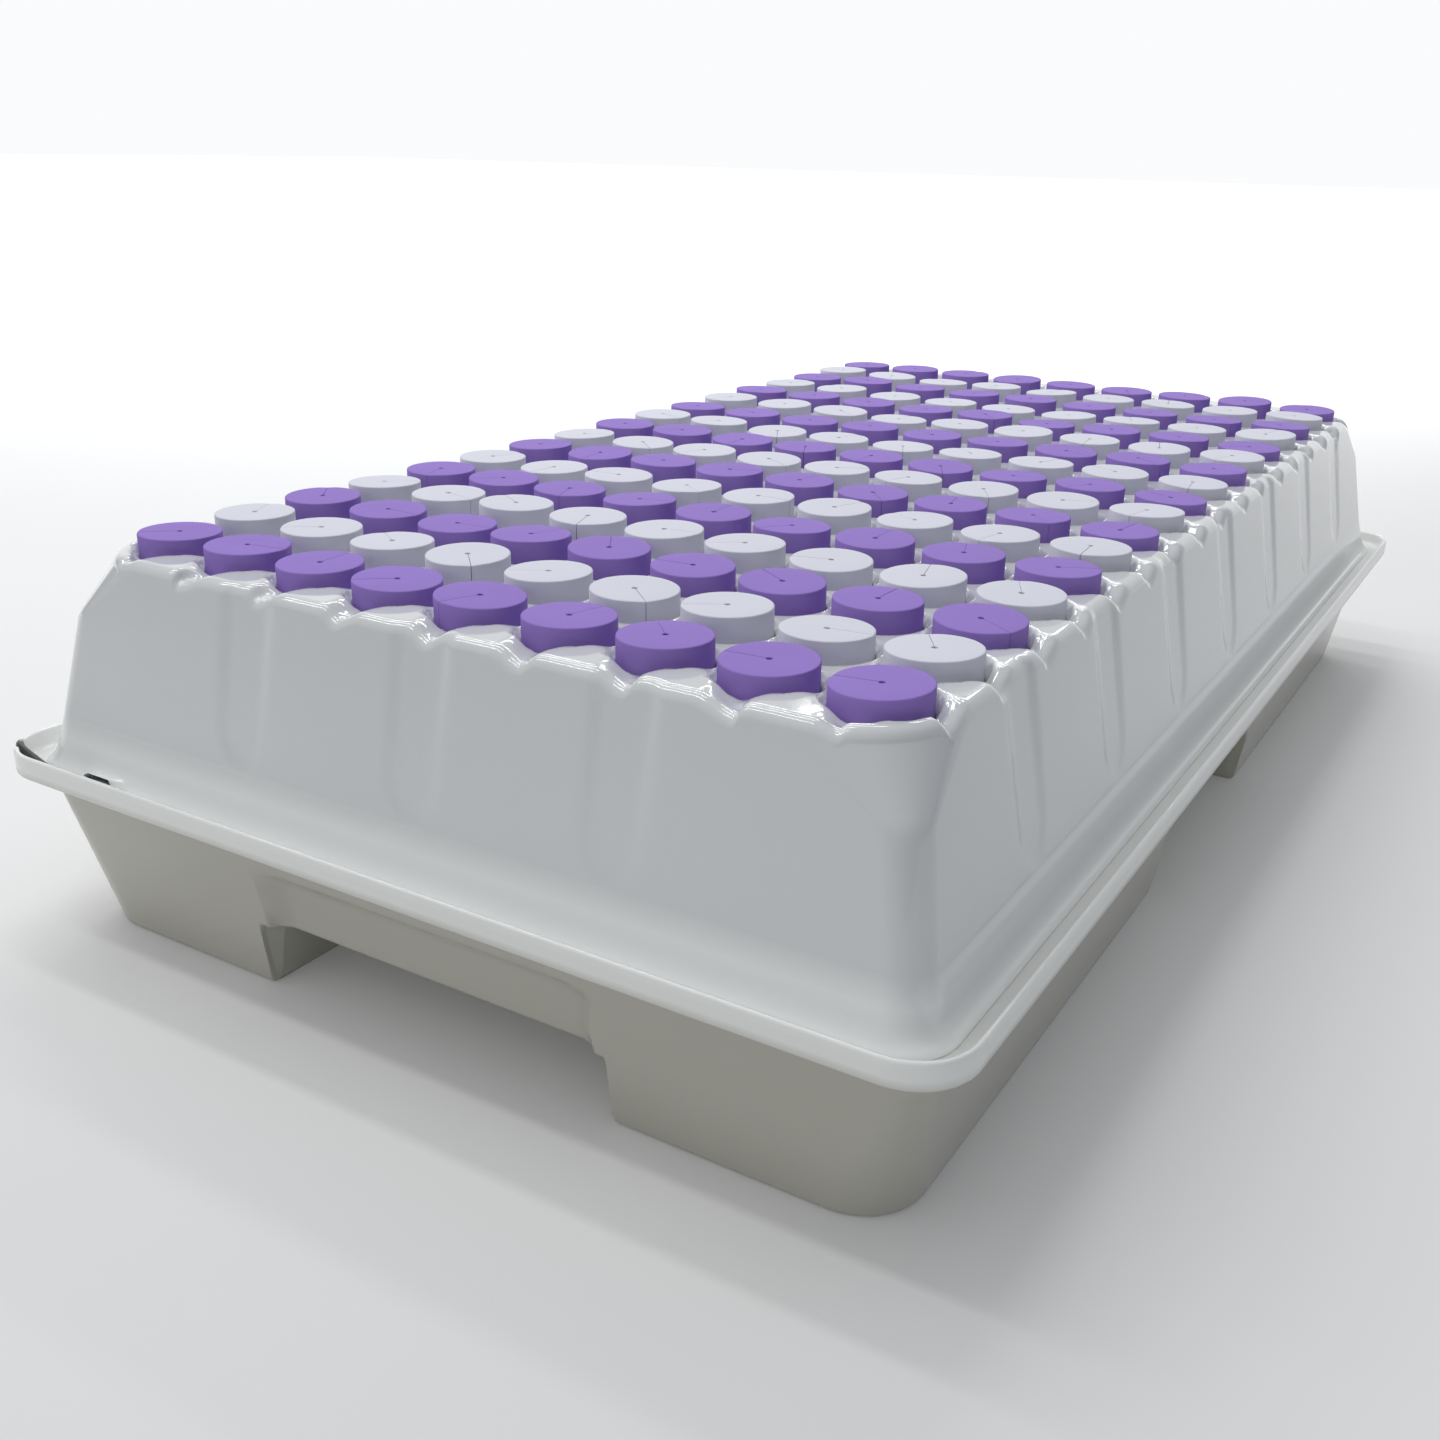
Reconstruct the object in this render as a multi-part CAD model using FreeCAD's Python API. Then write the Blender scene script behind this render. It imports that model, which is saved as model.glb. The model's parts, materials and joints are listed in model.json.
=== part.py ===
"""Aeroponic propagation tray: reservoir, lid with foam collars, pump and spray manifold.

Millimetres, +Z up, origin on the floor at the centre of the four foot blocks.
X runs along the short side of the tray and Y along the long side.
"""
import FreeCAD
import Part
import math
import os

V = FreeCAD.Vector
UP = V(0, 0, 1)

# ---------------------------------------------------------------- driving dimensions
PITCH = 59.0                    # spacing of the collars, both ways
COLUMNS = 9                     # collars across the short side
ROWS = 17                       # collars along the long side
WALL = 3.0                      # thickness of the formed sheet

COLLAR_R = 25.0
COLLAR_TOP = 252.5
COLLAR_HOLE_R = 2.2
COLLAR_SLIT = 0.7

RIM_A, RIM_B, RIM_R = 321.0, 564.0, 34.0     # half width, half length, corner radius
RIM_Z0, FLANGE_Z, LIP_Z = 106.5, 109.5, 121.5
LIP_T = 3.5
NOTCH_X, NOTCH_Y, NOTCH_ANGLE = -311.0, -550.6, 154.0      # cord notch across the lip's corner
NOTCH_W, NOTCH_LENGTH, NOTCH_Z = 9.0, 28.0, 115.2

FOOT_A, FOOT_B, FOOT_R = 286.0, 529.0, 38.0  # outline of the feet on the floor
BODY_A, BODY_B, BODY_R = 302.0, 545.0, 15.0  # outline just under the rim
CHANNEL_LOW, CHANNEL_HIGH = 120.0, 114.0     # half width of the crosswise channel, floor and top
CHANNEL_EXTRA = 4.0                          # how much wider the lengthwise channel is on each side
BELLY_Z = 42.0
RECESS_DEPTH, RECESS_Z = 8.0, 84.0

DECK_Z, LAND_Z = 244.0, 240.5    # top of the humps along the edge and of the lands between collars
POCKET_Z, POCKET_R = 236.5, 27.1
CUP_R = COLLAR_R + 0.3
CUP_WALL_R = 27.3
LEDGE_Z, LEDGE_R = 224.0, 21.5
CUP_Z0 = LEDGE_Z - 2.5
SCALLOP_R, SCALLOP_Z = 13.0, POCKET_Z + 0.5      # dips in the deck edge and their lowest line
DECK_FILLET = 9.0
LID_FLANGE_A, LID_FLANGE_B, LID_FLANGE_R = 306.5, 551.5, 30.0
LID_FLANGE_TOP = FLANGE_Z + WALL
LID_BASE_A, LID_BASE_B, LID_BASE_R, LID_BASE_Z = 293.8, 537.5, 28.0, 140.0
LID_SLOPE = 0.185               # inward lean of the lid's walls per unit of height
FLUTE_PITCH_Y, FLUTE_PITCH_X = 2.25 * PITCH, 2.15 * PITCH
FLUTE_R0, FLUTE_R1, FLUTE_DEPTH = 20.0, 27.0, 4.5
FLUTE_Z0 = 146.0

PUMP_X, PUMP_Y = -3.0 * PITCH, -324.5
PUMP_Z0, PUMP_Z1 = 15.0, 65.0
PUMP_HALF_X, PUMP_HALF_Y = 28.0, 37.5
SHAFT_Z = 38.0
SHAFT_R, SHAFT_BORE_R = 1.5, 1.55
CHAMBER_R, CHAMBER_DEPTH = 20.0, 14.0
ROTOR_BORE_R, ROTOR_TUBE_R, ROTOR_BORE_END = 13.3, 15.0, 60.0
OUTLET_R, OUTLET_BORE_R, OUTLET_Z = 6.0, 4.0, 84.0

PIPE_R, PIPE_BORE_R = 10.65, 7.9
FITTING_R, FITTING_ARM, SOCKET_START = 14.0, 28.0, 12.0
PIPE_Z = 112.0
RAIL_X = 3.0 * PITCH
HEADER_Y = 7.0 * PITCH
RISER_Y = -5.0 * PITCH
NOZZLE_STEP = 2.0 * PITCH
NOZZLES_PER_RAIL = 7

CORD_R = 2.5
TUNNEL_ANGLE = 25.0             # the cord leaves the lid at this angle to the rim
TUNNEL_HALF_W, TUNNEL_H = 5.0, 6.6
GROMMET_LENGTH = 18.0
COIL_R, COIL_HALF_W, COIL_H = 27.5, 5.0, 15.0
COIL_X, COIL_Y, COIL_Z0 = -331.0, -240.0, 0.8
TIE_T = 0.8

NODES = {}


# ---------------------------------------------------------------- helpers
def outline(a, b, r, z):
    """Rounded rectangle of half sizes a and b at height z."""
    k = r * math.sqrt(0.5)
    edges = []
    for quarter in range(4):
        turn = FreeCAD.Rotation(UP, 90.0 * quarter)
        p, q = (a, b) if quarter % 2 == 0 else (b, a)
        start = turn.multVec(V(p, q - r, z))
        middle = turn.multVec(V(p - r + k, q - r + k, z))
        end = turn.multVec(V(p - r, q, z))
        edges.append(Part.Arc(start, middle, end).toShape())
        edges.append(Part.makeLine(end, turn.multVec(V(-p + r, q, z))))
    return Part.Wire(edges)


def loft(sections):
    """Closed solid through rounded rectangles given as (a, b, r, z)."""
    return Part.makeLoft([outline(*s) for s in sections], True, True)


def box(x0, x1, y0, y1, z0, z1):
    return Part.makeBox(x1 - x0, y1 - y0, z1 - z0, V(x0, y0, z0))


def cylinder(r, start, end):
    return Part.makeCylinder(r, (end - start).Length, start, end - start)


def tube(r_out, r_in, start, end):
    return cylinder(r_out, start, end).cut(cylinder(r_in, start, end))


def prism(points, direction):
    """Extrusion of the polygon through points."""
    return Part.Face(Part.makePolygon(points + points[:1])).extrude(direction)


def turned(profile, axis_point, axis=UP):
    """Solid of revolution of a polygon given as (radius, height) pairs."""
    points = [V(r, 0, z) for r, z in profile]
    shape = Part.Face(Part.makePolygon(points + points[:1])).revolve(V(0, 0, 0), UP, 360)
    shape.Placement = FreeCAD.Placement(axis_point, FreeCAD.Rotation(UP, axis))
    return shape


def at(shape, x, y, z=0.0, turn=0.0):
    copy = shape.copy()
    copy.Placement = FreeCAD.Placement(V(x, y, z), FreeCAD.Rotation(UP, turn)).multiply(copy.Placement)
    return copy


def rounded(shape, radius, wanted):
    """Fillet of the edges for which wanted(edge) is true."""
    return shape.makeFillet(radius, [e for e in shape.Edges if wanted(e)])


def add(name, shapes):
    NODES[name] = Part.makeCompound(shapes) if isinstance(shapes, list) else shapes


def column_x(column):
    return (column - (COLUMNS - 1) / 2) * PITCH


def row_y(row):
    return (row - (ROWS - 1) / 2) * PITCH


def cord_tube(name, points, radius):
    """Round cord along straight runs joined by tangent arcs."""
    points = [V(*p) for p in points]
    edges = []
    here = points[0]
    length = 0.0
    radii = []
    for before, corner, after in zip(points, points[1:], points[2:]):
        back = (before - corner).normalize()
        ahead = (after - corner).normalize()
        half_turn = (math.pi - back.getAngle(ahead)) / 2
        cut = 0.45 * min((before - corner).Length, (after - corner).Length)
        bend = cut / math.tan(half_turn)
        start, end = corner + back * cut, corner + ahead * cut
        inward = (back + ahead).normalize()
        middle = corner + inward * (bend / math.cos(half_turn) - bend)
        edges.append(Part.makeLine(here, start))
        edges.append(Part.Arc(start, middle, end).toShape())
        length += (start - here).Length + 2 * half_turn * bend
        radii.append(bend)
        here = end
    edges.append(Part.makeLine(here, points[-1]))
    length += (points[-1] - here).Length
    path = Part.Wire(edges)
    ring = Part.Wire(Part.makeCircle(radius, points[0], points[1] - points[0]))
    sweep = path.makePipeShell([ring], True, False)
    expected = math.pi * radius ** 2 * length
    print(name, "length %.0f, radii %s, volume ratio %.4f"
          % (length, " ".join("%.0f" % r for r in radii), sweep.Volume / expected))
    return sweep


# ---------------------------------------------------------------- reservoir
def channels(grow):
    """The two crossing channels under the belly, grown by the sheet thickness for the inside."""
    low, high, top = CHANNEL_LOW + grow, CHANNEL_HIGH + grow, BELLY_Z + grow
    reach = RIM_B + 50.0

    def section(extra):
        return [(-low - extra, -1), (low + extra, -1), (high + extra, top), (-high - extra, top)]

    lengthwise = prism([V(half, -reach, z) for half, z in section(CHANNEL_EXTRA)], V(0, 2 * reach, 0))
    crosswise = prism([V(-reach, half, z) for half, z in section(0.0)], V(2 * reach, 0, 0))
    return lengthwise.fuse(crosswise)


def recess(face_low, face_top, grow):
    """Profile of the set-back between two feet: distances from the centre against height."""
    far = RIM_B + 50.0
    top = RECESS_Z + grow
    lean = (face_top - face_low) / RIM_Z0
    return [(far, -1.0), (face_low - RECESS_DEPTH - grow, -1.0),
            (face_low + lean * (top - 10.0) - RECESS_DEPTH - grow, top - 10.0),
            (face_low + lean * top + 1.0, top), (far, top)]


def recesses(grow):
    half = CHANNEL_HIGH + 2.0 + grow
    wide = half + CHANNEL_EXTRA
    solids = []
    for side in (1, -1):
        ends = [V(-wide, side * d, z) for d, z in recess(FOOT_B, BODY_B, grow)]
        flanks = [V(side * d, -half, z) for d, z in recess(FOOT_A, BODY_A, grow)]
        solids.append(prism(ends, V(2 * wide, 0, 0)))
        solids.append(prism(flanks, V(0, 2 * half, 0)))
    return solids


def make_reservoir():
    body = loft([(FOOT_A, FOOT_B, FOOT_R, 0), (BODY_A, BODY_B, BODY_R, RIM_Z0)])
    for cutter in [channels(0.0)] + recesses(0.0):
        body = body.cut(cutter)
    flange = loft([(RIM_A, RIM_B, RIM_R, RIM_Z0), (RIM_A, RIM_B, RIM_R, FLANGE_Z)])
    lip_outer = loft([(RIM_A, RIM_B, RIM_R, RIM_Z0), (RIM_A, RIM_B, RIM_R, LIP_Z)])
    lip_inner = loft([(RIM_A - LIP_T, RIM_B - LIP_T, RIM_R - LIP_T, z) for z in (RIM_Z0, LIP_Z)])
    body = body.fuse([flange, lip_outer.cut(lip_inner)])
    hollow = loft([(FOOT_A - WALL, FOOT_B - WALL, FOOT_R - WALL, WALL),
                   (BODY_A - WALL, BODY_B - WALL, BODY_R - WALL, FLANGE_Z + 1)])
    for cutter in [channels(WALL)] + recesses(WALL):
        hollow = hollow.cut(cutter)
    notch = box(-NOTCH_LENGTH / 2, NOTCH_LENGTH / 2, -NOTCH_W / 2, NOTCH_W / 2, NOTCH_Z, LIP_Z + 1)
    notch = at(notch, NOTCH_X, NOTCH_Y, 0, NOTCH_ANGLE)
    add("reservoir_tray", body.cut(hollow).cut(notch).removeSplitter())


# ---------------------------------------------------------------- lid
CORD_EXIT = V(-236.0, -551.5, FLANGE_Z + 3.0)
CORD_WAY = V(-math.cos(math.radians(TUNNEL_ANGLE)), -math.sin(math.radians(TUNNEL_ANGLE)), 0)


def wall_at(base, z):
    """Half size of the lid's drafted wall at height z."""
    return base - LID_SLOPE * (z - LID_BASE_Z)


def flutes(grow):
    """Tapered grooves down the lid's walls, as leaning cones."""
    cones = []
    height = DECK_Z + 4.0 - FLUTE_Z0

    def flute(place, outward, base):
        z = FLUTE_Z0 + height
        low = place + outward * (wall_at(base, FLUTE_Z0) + FLUTE_R0 - 0.2) + UP * FLUTE_Z0
        high = place + outward * (wall_at(base, z) + FLUTE_R1 - FLUTE_DEPTH) + UP * z
        cones.append(Part.makeCone(FLUTE_R0 + grow, FLUTE_R1 + grow, (high - low).Length, low, high - low))

    for side in (1, -1):
        for step in range(-3, 4):
            flute(V(0, step * FLUTE_PITCH_Y, 0), V(side, 0, 0), LID_BASE_A)
        for step in range(-1, 2):
            flute(V(step * FLUTE_PITCH_X, 0, 0), V(0, side, 0), LID_BASE_B)
    return cones


def scallops():
    """Dips in the deck's edge beside each outer collar."""
    z = SCALLOP_Z + SCALLOP_R
    edge_x = column_x(COLUMNS - 1) + COLLAR_R - 1.0
    edge_y = row_y(ROWS - 1) + COLLAR_R - 1.0
    cutters = []
    for side in (1, -1):
        for column in range(COLUMNS):
            start = V(column_x(column), side * edge_y, z)
            cutters.append(cylinder(SCALLOP_R, start, start + V(0, side * 80, 0)))
        for row in range(ROWS):
            start = V(side * edge_x, row_y(row), z)
            cutters.append(cylinder(SCALLOP_R, start, start + V(side * 80, 0, 0)))
    return Part.makeCompound(cutters)


def tunnel_block(half_width, height, start, end):
    """Block on the flange's underside along the cord, between two distances past the exit."""
    side = V(-CORD_WAY.y, CORD_WAY.x, 0) * half_width
    back, front = CORD_EXIT + CORD_WAY * start, CORD_EXIT + CORD_WAY * end
    foot = [V(p.x, p.y, FLANGE_Z) for p in (back - side, front - side, front + side, back + side)]
    return prism(foot, V(0, 0, height))


def lid_outside():
    """Walls, deck edge, cove and flange as one closed block."""
    top_a, top_b = wall_at(LID_BASE_A, DECK_Z), wall_at(LID_BASE_B, DECK_Z)
    walls = loft([(LID_BASE_A, LID_BASE_B, LID_BASE_R, LID_BASE_Z), (top_a, top_b, LID_BASE_R - 6, DECK_Z)])
    walls = rounded(walls, DECK_FILLET, lambda e: e.BoundBox.ZMin > DECK_Z - 0.01)
    cove = loft([(LID_FLANGE_A - 2.7, LID_FLANGE_B - 2.9, LID_FLANGE_R, LID_FLANGE_TOP),
                 (LID_BASE_A + 8.2, LID_BASE_B + 9.0, LID_FLANGE_R, LID_FLANGE_TOP + 5.5),
                 (LID_BASE_A + 5.1, LID_BASE_B + 5.6, LID_BASE_R + 1, LID_FLANGE_TOP + 14.5),
                 (LID_BASE_A, LID_BASE_B, LID_BASE_R, LID_BASE_Z)])
    flange = loft([(LID_FLANGE_A, LID_FLANGE_B, LID_FLANGE_R + 2, FLANGE_Z),
                   (LID_FLANGE_A, LID_FLANGE_B, LID_FLANGE_R + 2, LID_FLANGE_TOP)])
    last_x, last_y = column_x(COLUMNS - 1), row_y(ROWS - 1)
    lands = box(-last_x, last_x, -last_y, last_y, LAND_Z, DECK_Z + 1)
    outside = walls.cut(scallops()).cut(lands).fuse([cove, flange])
    for cone in flutes(0.0):
        outside = outside.cut(cone)
    hump = tunnel_block(TUNNEL_HALF_W + 2.5, TUNNEL_H + 2.4, -20.0, 22.0)
    on_flange = box(-LID_FLANGE_A, 0, -LID_FLANGE_B, 0, FLANGE_Z, FLANGE_Z + 20.0)
    return outside.fuse(hump.common(on_flange))


def lid_hollow():
    under = POCKET_Z - WALL
    under_a, under_b = wall_at(LID_BASE_A, under) - WALL, wall_at(LID_BASE_B, under) - WALL
    hollow = loft([(BODY_A - WALL, BODY_B - WALL, LID_BASE_R, FLANGE_Z - 1),
                   (LID_BASE_A + 3.4, LID_BASE_B + 4.1, LID_BASE_R - 1, LID_FLANGE_TOP + 5.5),
                   (LID_BASE_A - WALL, LID_BASE_B - WALL, LID_BASE_R - WALL, LID_BASE_Z),
                   (under_a, under_b, LID_BASE_R - 8, under)])
    for cone in flutes(WALL):
        hollow = hollow.cut(cone)
    return hollow


def make_lid():
    lid = lid_outside().cut(lid_hollow()).cut(tunnel_block(TUNNEL_HALF_W, TUNNEL_H, -60.0, 30.0))
    cup = Part.makeCylinder(CUP_WALL_R, POCKET_Z - 1.0 - CUP_Z0, V(0, 0, CUP_Z0))
    below, above = CUP_Z0 - 1, DECK_Z + 2
    socket = turned([(0, below), (LEDGE_R, below), (LEDGE_R, LEDGE_Z), (CUP_R, LEDGE_Z), (CUP_R, POCKET_Z),
                     (POCKET_R, POCKET_Z), (POCKET_R, above), (0, above)], V(0, 0, 0))
    places = [(column_x(c), row_y(r)) for c in range(COLUMNS) for r in range(ROWS)]
    lid = lid.fuse([at(cup, x, y) for x, y in places])
    add("lid_shell", lid.cut(Part.makeCompound([at(socket, x, y) for x, y in places])))


# ---------------------------------------------------------------- foam collars
def collar(row, column):
    disc = Part.makeCylinder(COLLAR_R, COLLAR_TOP - LEDGE_Z)
    disc = disc.cut(Part.makeCylinder(COLLAR_HOLE_R, COLLAR_TOP))
    slit = box(0.5, COLLAR_R + 1, -COLLAR_SLIT / 2, COLLAR_SLIT / 2, -1, COLLAR_TOP)
    turn = 137.5 * (row * COLUMNS + column)
    return at(disc.cut(slit), column_x(column), row_y(row), LEDGE_Z, turn)


def make_collars():
    for row in range(ROWS):
        last = COLUMNS - 1 if row == 0 else COLUMNS
        add("collar_row_%02d" % (row + 1), [collar(row, c) for c in range(last)])
    add("collar_front_right", collar(0, COLUMNS - 1))


# ---------------------------------------------------------------- pump
def pump_point(x, y, z):
    return V(PUMP_X + x, PUMP_Y + y, z)


def pump_box(half_x, y0, y1, z0, z1):
    return box(PUMP_X - half_x, PUMP_X + half_x, PUMP_Y + y0, PUMP_Y + y1, z0, z1)


def shaft_cylinder(r, y0, y1):
    """Cylinder on the pump's shaft, between two distances from the pump's centre."""
    return cylinder(r, pump_point(0, y0, SHAFT_Z), pump_point(0, y1, SHAFT_Z))


def make_pump_housing():
    front = PUMP_HALF_Y
    chamber_back = front - CHAMBER_DEPTH
    bore_end = front - ROTOR_BORE_END
    block = pump_box(PUMP_HALF_X, -front, front, PUMP_Z0, PUMP_Z1)
    block = rounded(block, 5.0, lambda e: abs(e.BoundBox.YLength - 2 * front) < 0.1)
    stator_room = pump_box(PUMP_HALF_X - 4, -front - 1, chamber_back - 3, PUMP_Z0 + 4, PUMP_Z1 - 4)
    well = shaft_cylinder(ROTOR_TUBE_R, bore_end - 2, chamber_back)
    outlet = cylinder(OUTLET_R, pump_point(0, front - 8, PUMP_Z1 - 3), pump_point(0, front - 8, OUTLET_Z))
    block = block.cut(stator_room.cut(well)).fuse(outlet)
    block = block.cut(shaft_cylinder(CHAMBER_R, chamber_back, front + 1))
    block = block.cut(shaft_cylinder(ROTOR_BORE_R, bore_end, chamber_back))
    outlet_y = front - 8
    passage = cylinder(OUTLET_BORE_R, pump_point(0, outlet_y, SHAFT_Z), pump_point(0, outlet_y, OUTLET_Z + 1))
    add("pump_housing", block.cut(passage))
    potting = pump_box(PUMP_HALF_X - 4, -front + 4, chamber_back - 3, PUMP_Z0 + 4, PUMP_Z1 - 4)
    add("pump_stator", potting.cut(shaft_cylinder(ROTOR_TUBE_R, bore_end - 2, chamber_back)))
    cap = pump_box(PUMP_HALF_X - 4, -front, -front + 4, PUMP_Z0 + 4, PUMP_Z1 - 4)
    add("pump_end_cap", cap.cut(shaft_cylinder(CORD_R + 2.0, -front - 1, -front + 5)))
    gland = turned([(CORD_R, 0), (CORD_R + 2.0, 0), (CORD_R + 2.0, 4), (CORD_R + 4.0, 4),
                    (CORD_R + 3.2, 8), (CORD_R + 1.2, 24), (CORD_R, 24)],
                   pump_point(0, -front + 4, SHAFT_Z), V(0, -1, 0))
    add("pump_cord_gland", gland)


def make_pump_rotor():
    front = PUMP_HALF_Y
    chamber_back = front - CHAMBER_DEPTH
    bore_end = front - ROTOR_BORE_END
    add("rotor_shaft", shaft_cylinder(SHAFT_R, bore_end + 0.5, front - 1.0))
    bushing = shaft_cylinder(6.0, bore_end, bore_end + 5)
    add("shaft_bushing", bushing.cut(shaft_cylinder(SHAFT_R, bore_end, bore_end + 5)))
    magnet = shaft_cylinder(12.3, bore_end + 6, chamber_back - 1)
    add("rotor_magnet", magnet.cut(shaft_cylinder(3.0, bore_end, chamber_back)))
    hub = shaft_cylinder(3.0, bore_end + 6, chamber_back + 8)
    plate = shaft_cylinder(17.0, chamber_back + 1, chamber_back + 2.6)
    wheel = hub.fuse(plate)
    for blade_index in range(6):
        blade = Part.makeBox(11.0, 6.0, 1.4, V(4.5, 0, -0.7))
        blade.Placement = FreeCAD.Placement(pump_point(0, chamber_back + 2, SHAFT_Z),
                                            FreeCAD.Rotation(V(0, 1, 0), 60.0 * blade_index + 10.0))
        wheel = wheel.fuse(blade)
    add("impeller", wheel.cut(shaft_cylinder(SHAFT_BORE_R, bore_end, front)))


def make_pump_front():
    front = PUMP_HALF_Y
    plate = pump_box(PUMP_HALF_X, front, front + 4, PUMP_Z0, PUMP_Z1)
    plate = rounded(plate, 5.0, lambda e: abs(e.BoundBox.YLength - 4) < 0.1)
    spigot = shaft_cylinder(CHAMBER_R - 0.4, front - 3, front)
    boss = shaft_cylinder(10.0, front + 4, front + 12)
    cover = plate.fuse([spigot, boss]).cut(shaft_cylinder(8.0, front - 4, front + 13))
    bridge = shaft_cylinder(8.0, front + 1, front + 3)
    bridge = bridge.common(pump_box(2.0, front, front + 4, PUMP_Z0, PUMP_Z1))
    cover = cover.fuse(bridge)
    add("intake_cover", cover)
    ring = shaft_cylinder(15.0, front + 4.3, front + 9).cut(shaft_cylinder(10.3, front + 4, front + 10))
    lever_y = PUMP_Y + front
    lever = box(PUMP_X + 13.5, PUMP_X + 24, lever_y + 4.3, lever_y + 9, SHAFT_Z - 2.5, SHAFT_Z + 2.5)
    add("flow_dial", ring.fuse(lever))
    cage = shaft_cylinder(12.5, front + 12, front + 30).cut(shaft_cylinder(10.5, front + 11, front + 28))
    for slot_index in range(6):
        slot = Part.makeBox(30.0, 12.0, 3.0, V(-15.0, 0, -1.5))
        turn = FreeCAD.Rotation(V(0, 1, 0), 30.0 * slot_index)
        slot.Placement = FreeCAD.Placement(pump_point(0, front + 14, SHAFT_Z), turn)
        cage = cage.cut(slot)
    seat = shaft_cylinder(12.5, front + 10, front + 12).cut(shaft_cylinder(10.0, front + 9, front + 13))
    add("intake_strainer", cage.fuse(seat))


def make_pump_mounting():
    add("pump_base", rounded(pump_box(34.0, -44.0, 36.0, PUMP_Z0 - 4, PUMP_Z0), 6.0,
                             lambda e: e.BoundBox.ZLength > 3.9))
    cups = []
    for x in (-24.0, 24.0):
        for y in (-34.0, 26.0):
            cups.append(turned([(0, 3), (4, 3), (8.5, 0), (9.5, 0), (4, 6), (4, 8), (0, 8)],
                               pump_point(x, y, WALL)))
    add("suction_cups", cups)


def make_pump():
    make_pump_housing()
    make_pump_rotor()
    make_pump_front()
    make_pump_mounting()


# ---------------------------------------------------------------- spray manifold
def fitting(x, y, arms):
    """Pipe fitting with sockets along the arm directions."""
    centre = V(x, y, PIPE_Z)
    shape = Part.makeSphere(FITTING_R, centre)
    for arm in arms:
        shape = shape.fuse(cylinder(FITTING_R, centre, centre + arm * FITTING_ARM))
    for arm in arms:
        shape = shape.cut(cylinder(PIPE_BORE_R, centre, centre + arm * FITTING_ARM))
        shape = shape.cut(cylinder(PIPE_R, centre + arm * SOCKET_START, centre + arm * (FITTING_ARM + 1)))
    return shape


def nozzle_rows():
    half = (NOZZLES_PER_RAIL - 1) / 2
    return [(n - half) * NOZZLE_STEP for n in range(NOZZLES_PER_RAIL)]


def pipe(start, end):
    shape = tube(PIPE_R, PIPE_BORE_R, start, end)
    for y in nozzle_rows():
        if start.x == end.x and min(start.y, end.y) < y < max(start.y, end.y):
            shape = shape.cut(cylinder(2.5, V(start.x, y, PIPE_Z), V(start.x, y, PIPE_Z + 20)))
    return shape


def nozzle():
    profile = [(0.6, 8.5), (2.5, 8.5), (2.5, PIPE_R), (5.0, PIPE_R), (5.0, PIPE_R + 5), (2.8, PIPE_R + 5),
               (2.8, PIPE_R + 9), (1.0, PIPE_R + 9), (1.0, PIPE_R + 12.5), (6.5, PIPE_R + 13.2),
               (6.5, PIPE_R + 15), (0, PIPE_R + 16), (0, PIPE_R + 9), (0.6, PIPE_R + 8)]
    return turned(profile, V(0, 0, PIPE_Z))


def stand(x, y, along_x):
    """Foot, post and saddle that carry a pipe above the belly floor."""
    floor = BELLY_Z + WALL
    shape = Part.makeCylinder(16.0, 3.0, V(x, y, floor))
    shape = shape.fuse(Part.makeCylinder(5.0, PIPE_Z - PIPE_R - 6 - floor, V(x, y, floor)))
    saddle = Part.makeCylinder(PIPE_R + 2.5, 16.0, V(0, -8.0, 0), V(0, 1, 0))
    saddle = saddle.cut(box(-20, 20, -20, 20, 3, 30))
    saddle = at(saddle, x, y, PIPE_Z, 90.0 if along_x else 0.0)
    shape = shape.fuse([saddle, Part.makeCylinder(5.0, 8.0, V(x, y, PIPE_Z - PIPE_R - 8))])
    reach = V(30, 0, 0) if along_x else V(0, 30, 0)
    return shape.cut(cylinder(PIPE_R, V(x, y, PIPE_Z) - reach, V(x, y, PIPE_Z) + reach))


def make_manifold():
    gap = SOCKET_START
    rails = [pipe(V(-RAIL_X, -HEADER_Y + gap, PIPE_Z), V(-RAIL_X, RISER_Y - gap, PIPE_Z)),
             pipe(V(-RAIL_X, RISER_Y + gap, PIPE_Z), V(-RAIL_X, HEADER_Y - gap, PIPE_Z))]
    for x in (0.0, RAIL_X):
        rails.append(pipe(V(x, -HEADER_Y + gap, PIPE_Z), V(x, HEADER_Y - gap, PIPE_Z)))
    headers, elbows, tees = [], [], []
    for side in (1, -1):
        y = side * HEADER_Y
        inward = V(0, -side, 0)
        tees.append(fitting(0.0, y, [V(1, 0, 0), V(-1, 0, 0), inward]))
        for hand in (1, -1):
            headers.append(pipe(V(hand * gap, y, PIPE_Z), V(hand * (RAIL_X - gap), y, PIPE_Z)))
            elbows.append(fitting(hand * RAIL_X, y, [V(-hand, 0, 0), inward]))
    add("manifold_rails", rails)
    add("manifold_headers", headers)
    add("manifold_elbows", elbows)
    add("header_tees", tees)
    add("riser_tee", fitting(-RAIL_X, RISER_Y, [V(0, 1, 0), V(0, -1, 0), V(0, 0, -1)]))
    riser_foot, riser_head = V(-RAIL_X, RISER_Y, PUMP_Z1 + 5), V(-RAIL_X, RISER_Y, PIPE_Z - gap)
    add("riser_pipe", tube(PIPE_R, OUTLET_R + 0.3, riser_foot, riser_head))
    add("spray_nozzles", [at(nozzle(), x, y) for x in (-RAIL_X, 0.0, RAIL_X) for y in nozzle_rows()])
    spots = [(hand * RAIL_X, side * PITCH) for hand in (1, -1) for side in (1, -1)]
    spots += [(0.0, -RAIL_X), (0.0, RAIL_X)]
    add("manifold_stands", [stand(x, y, False) for x, y in spots])


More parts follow.
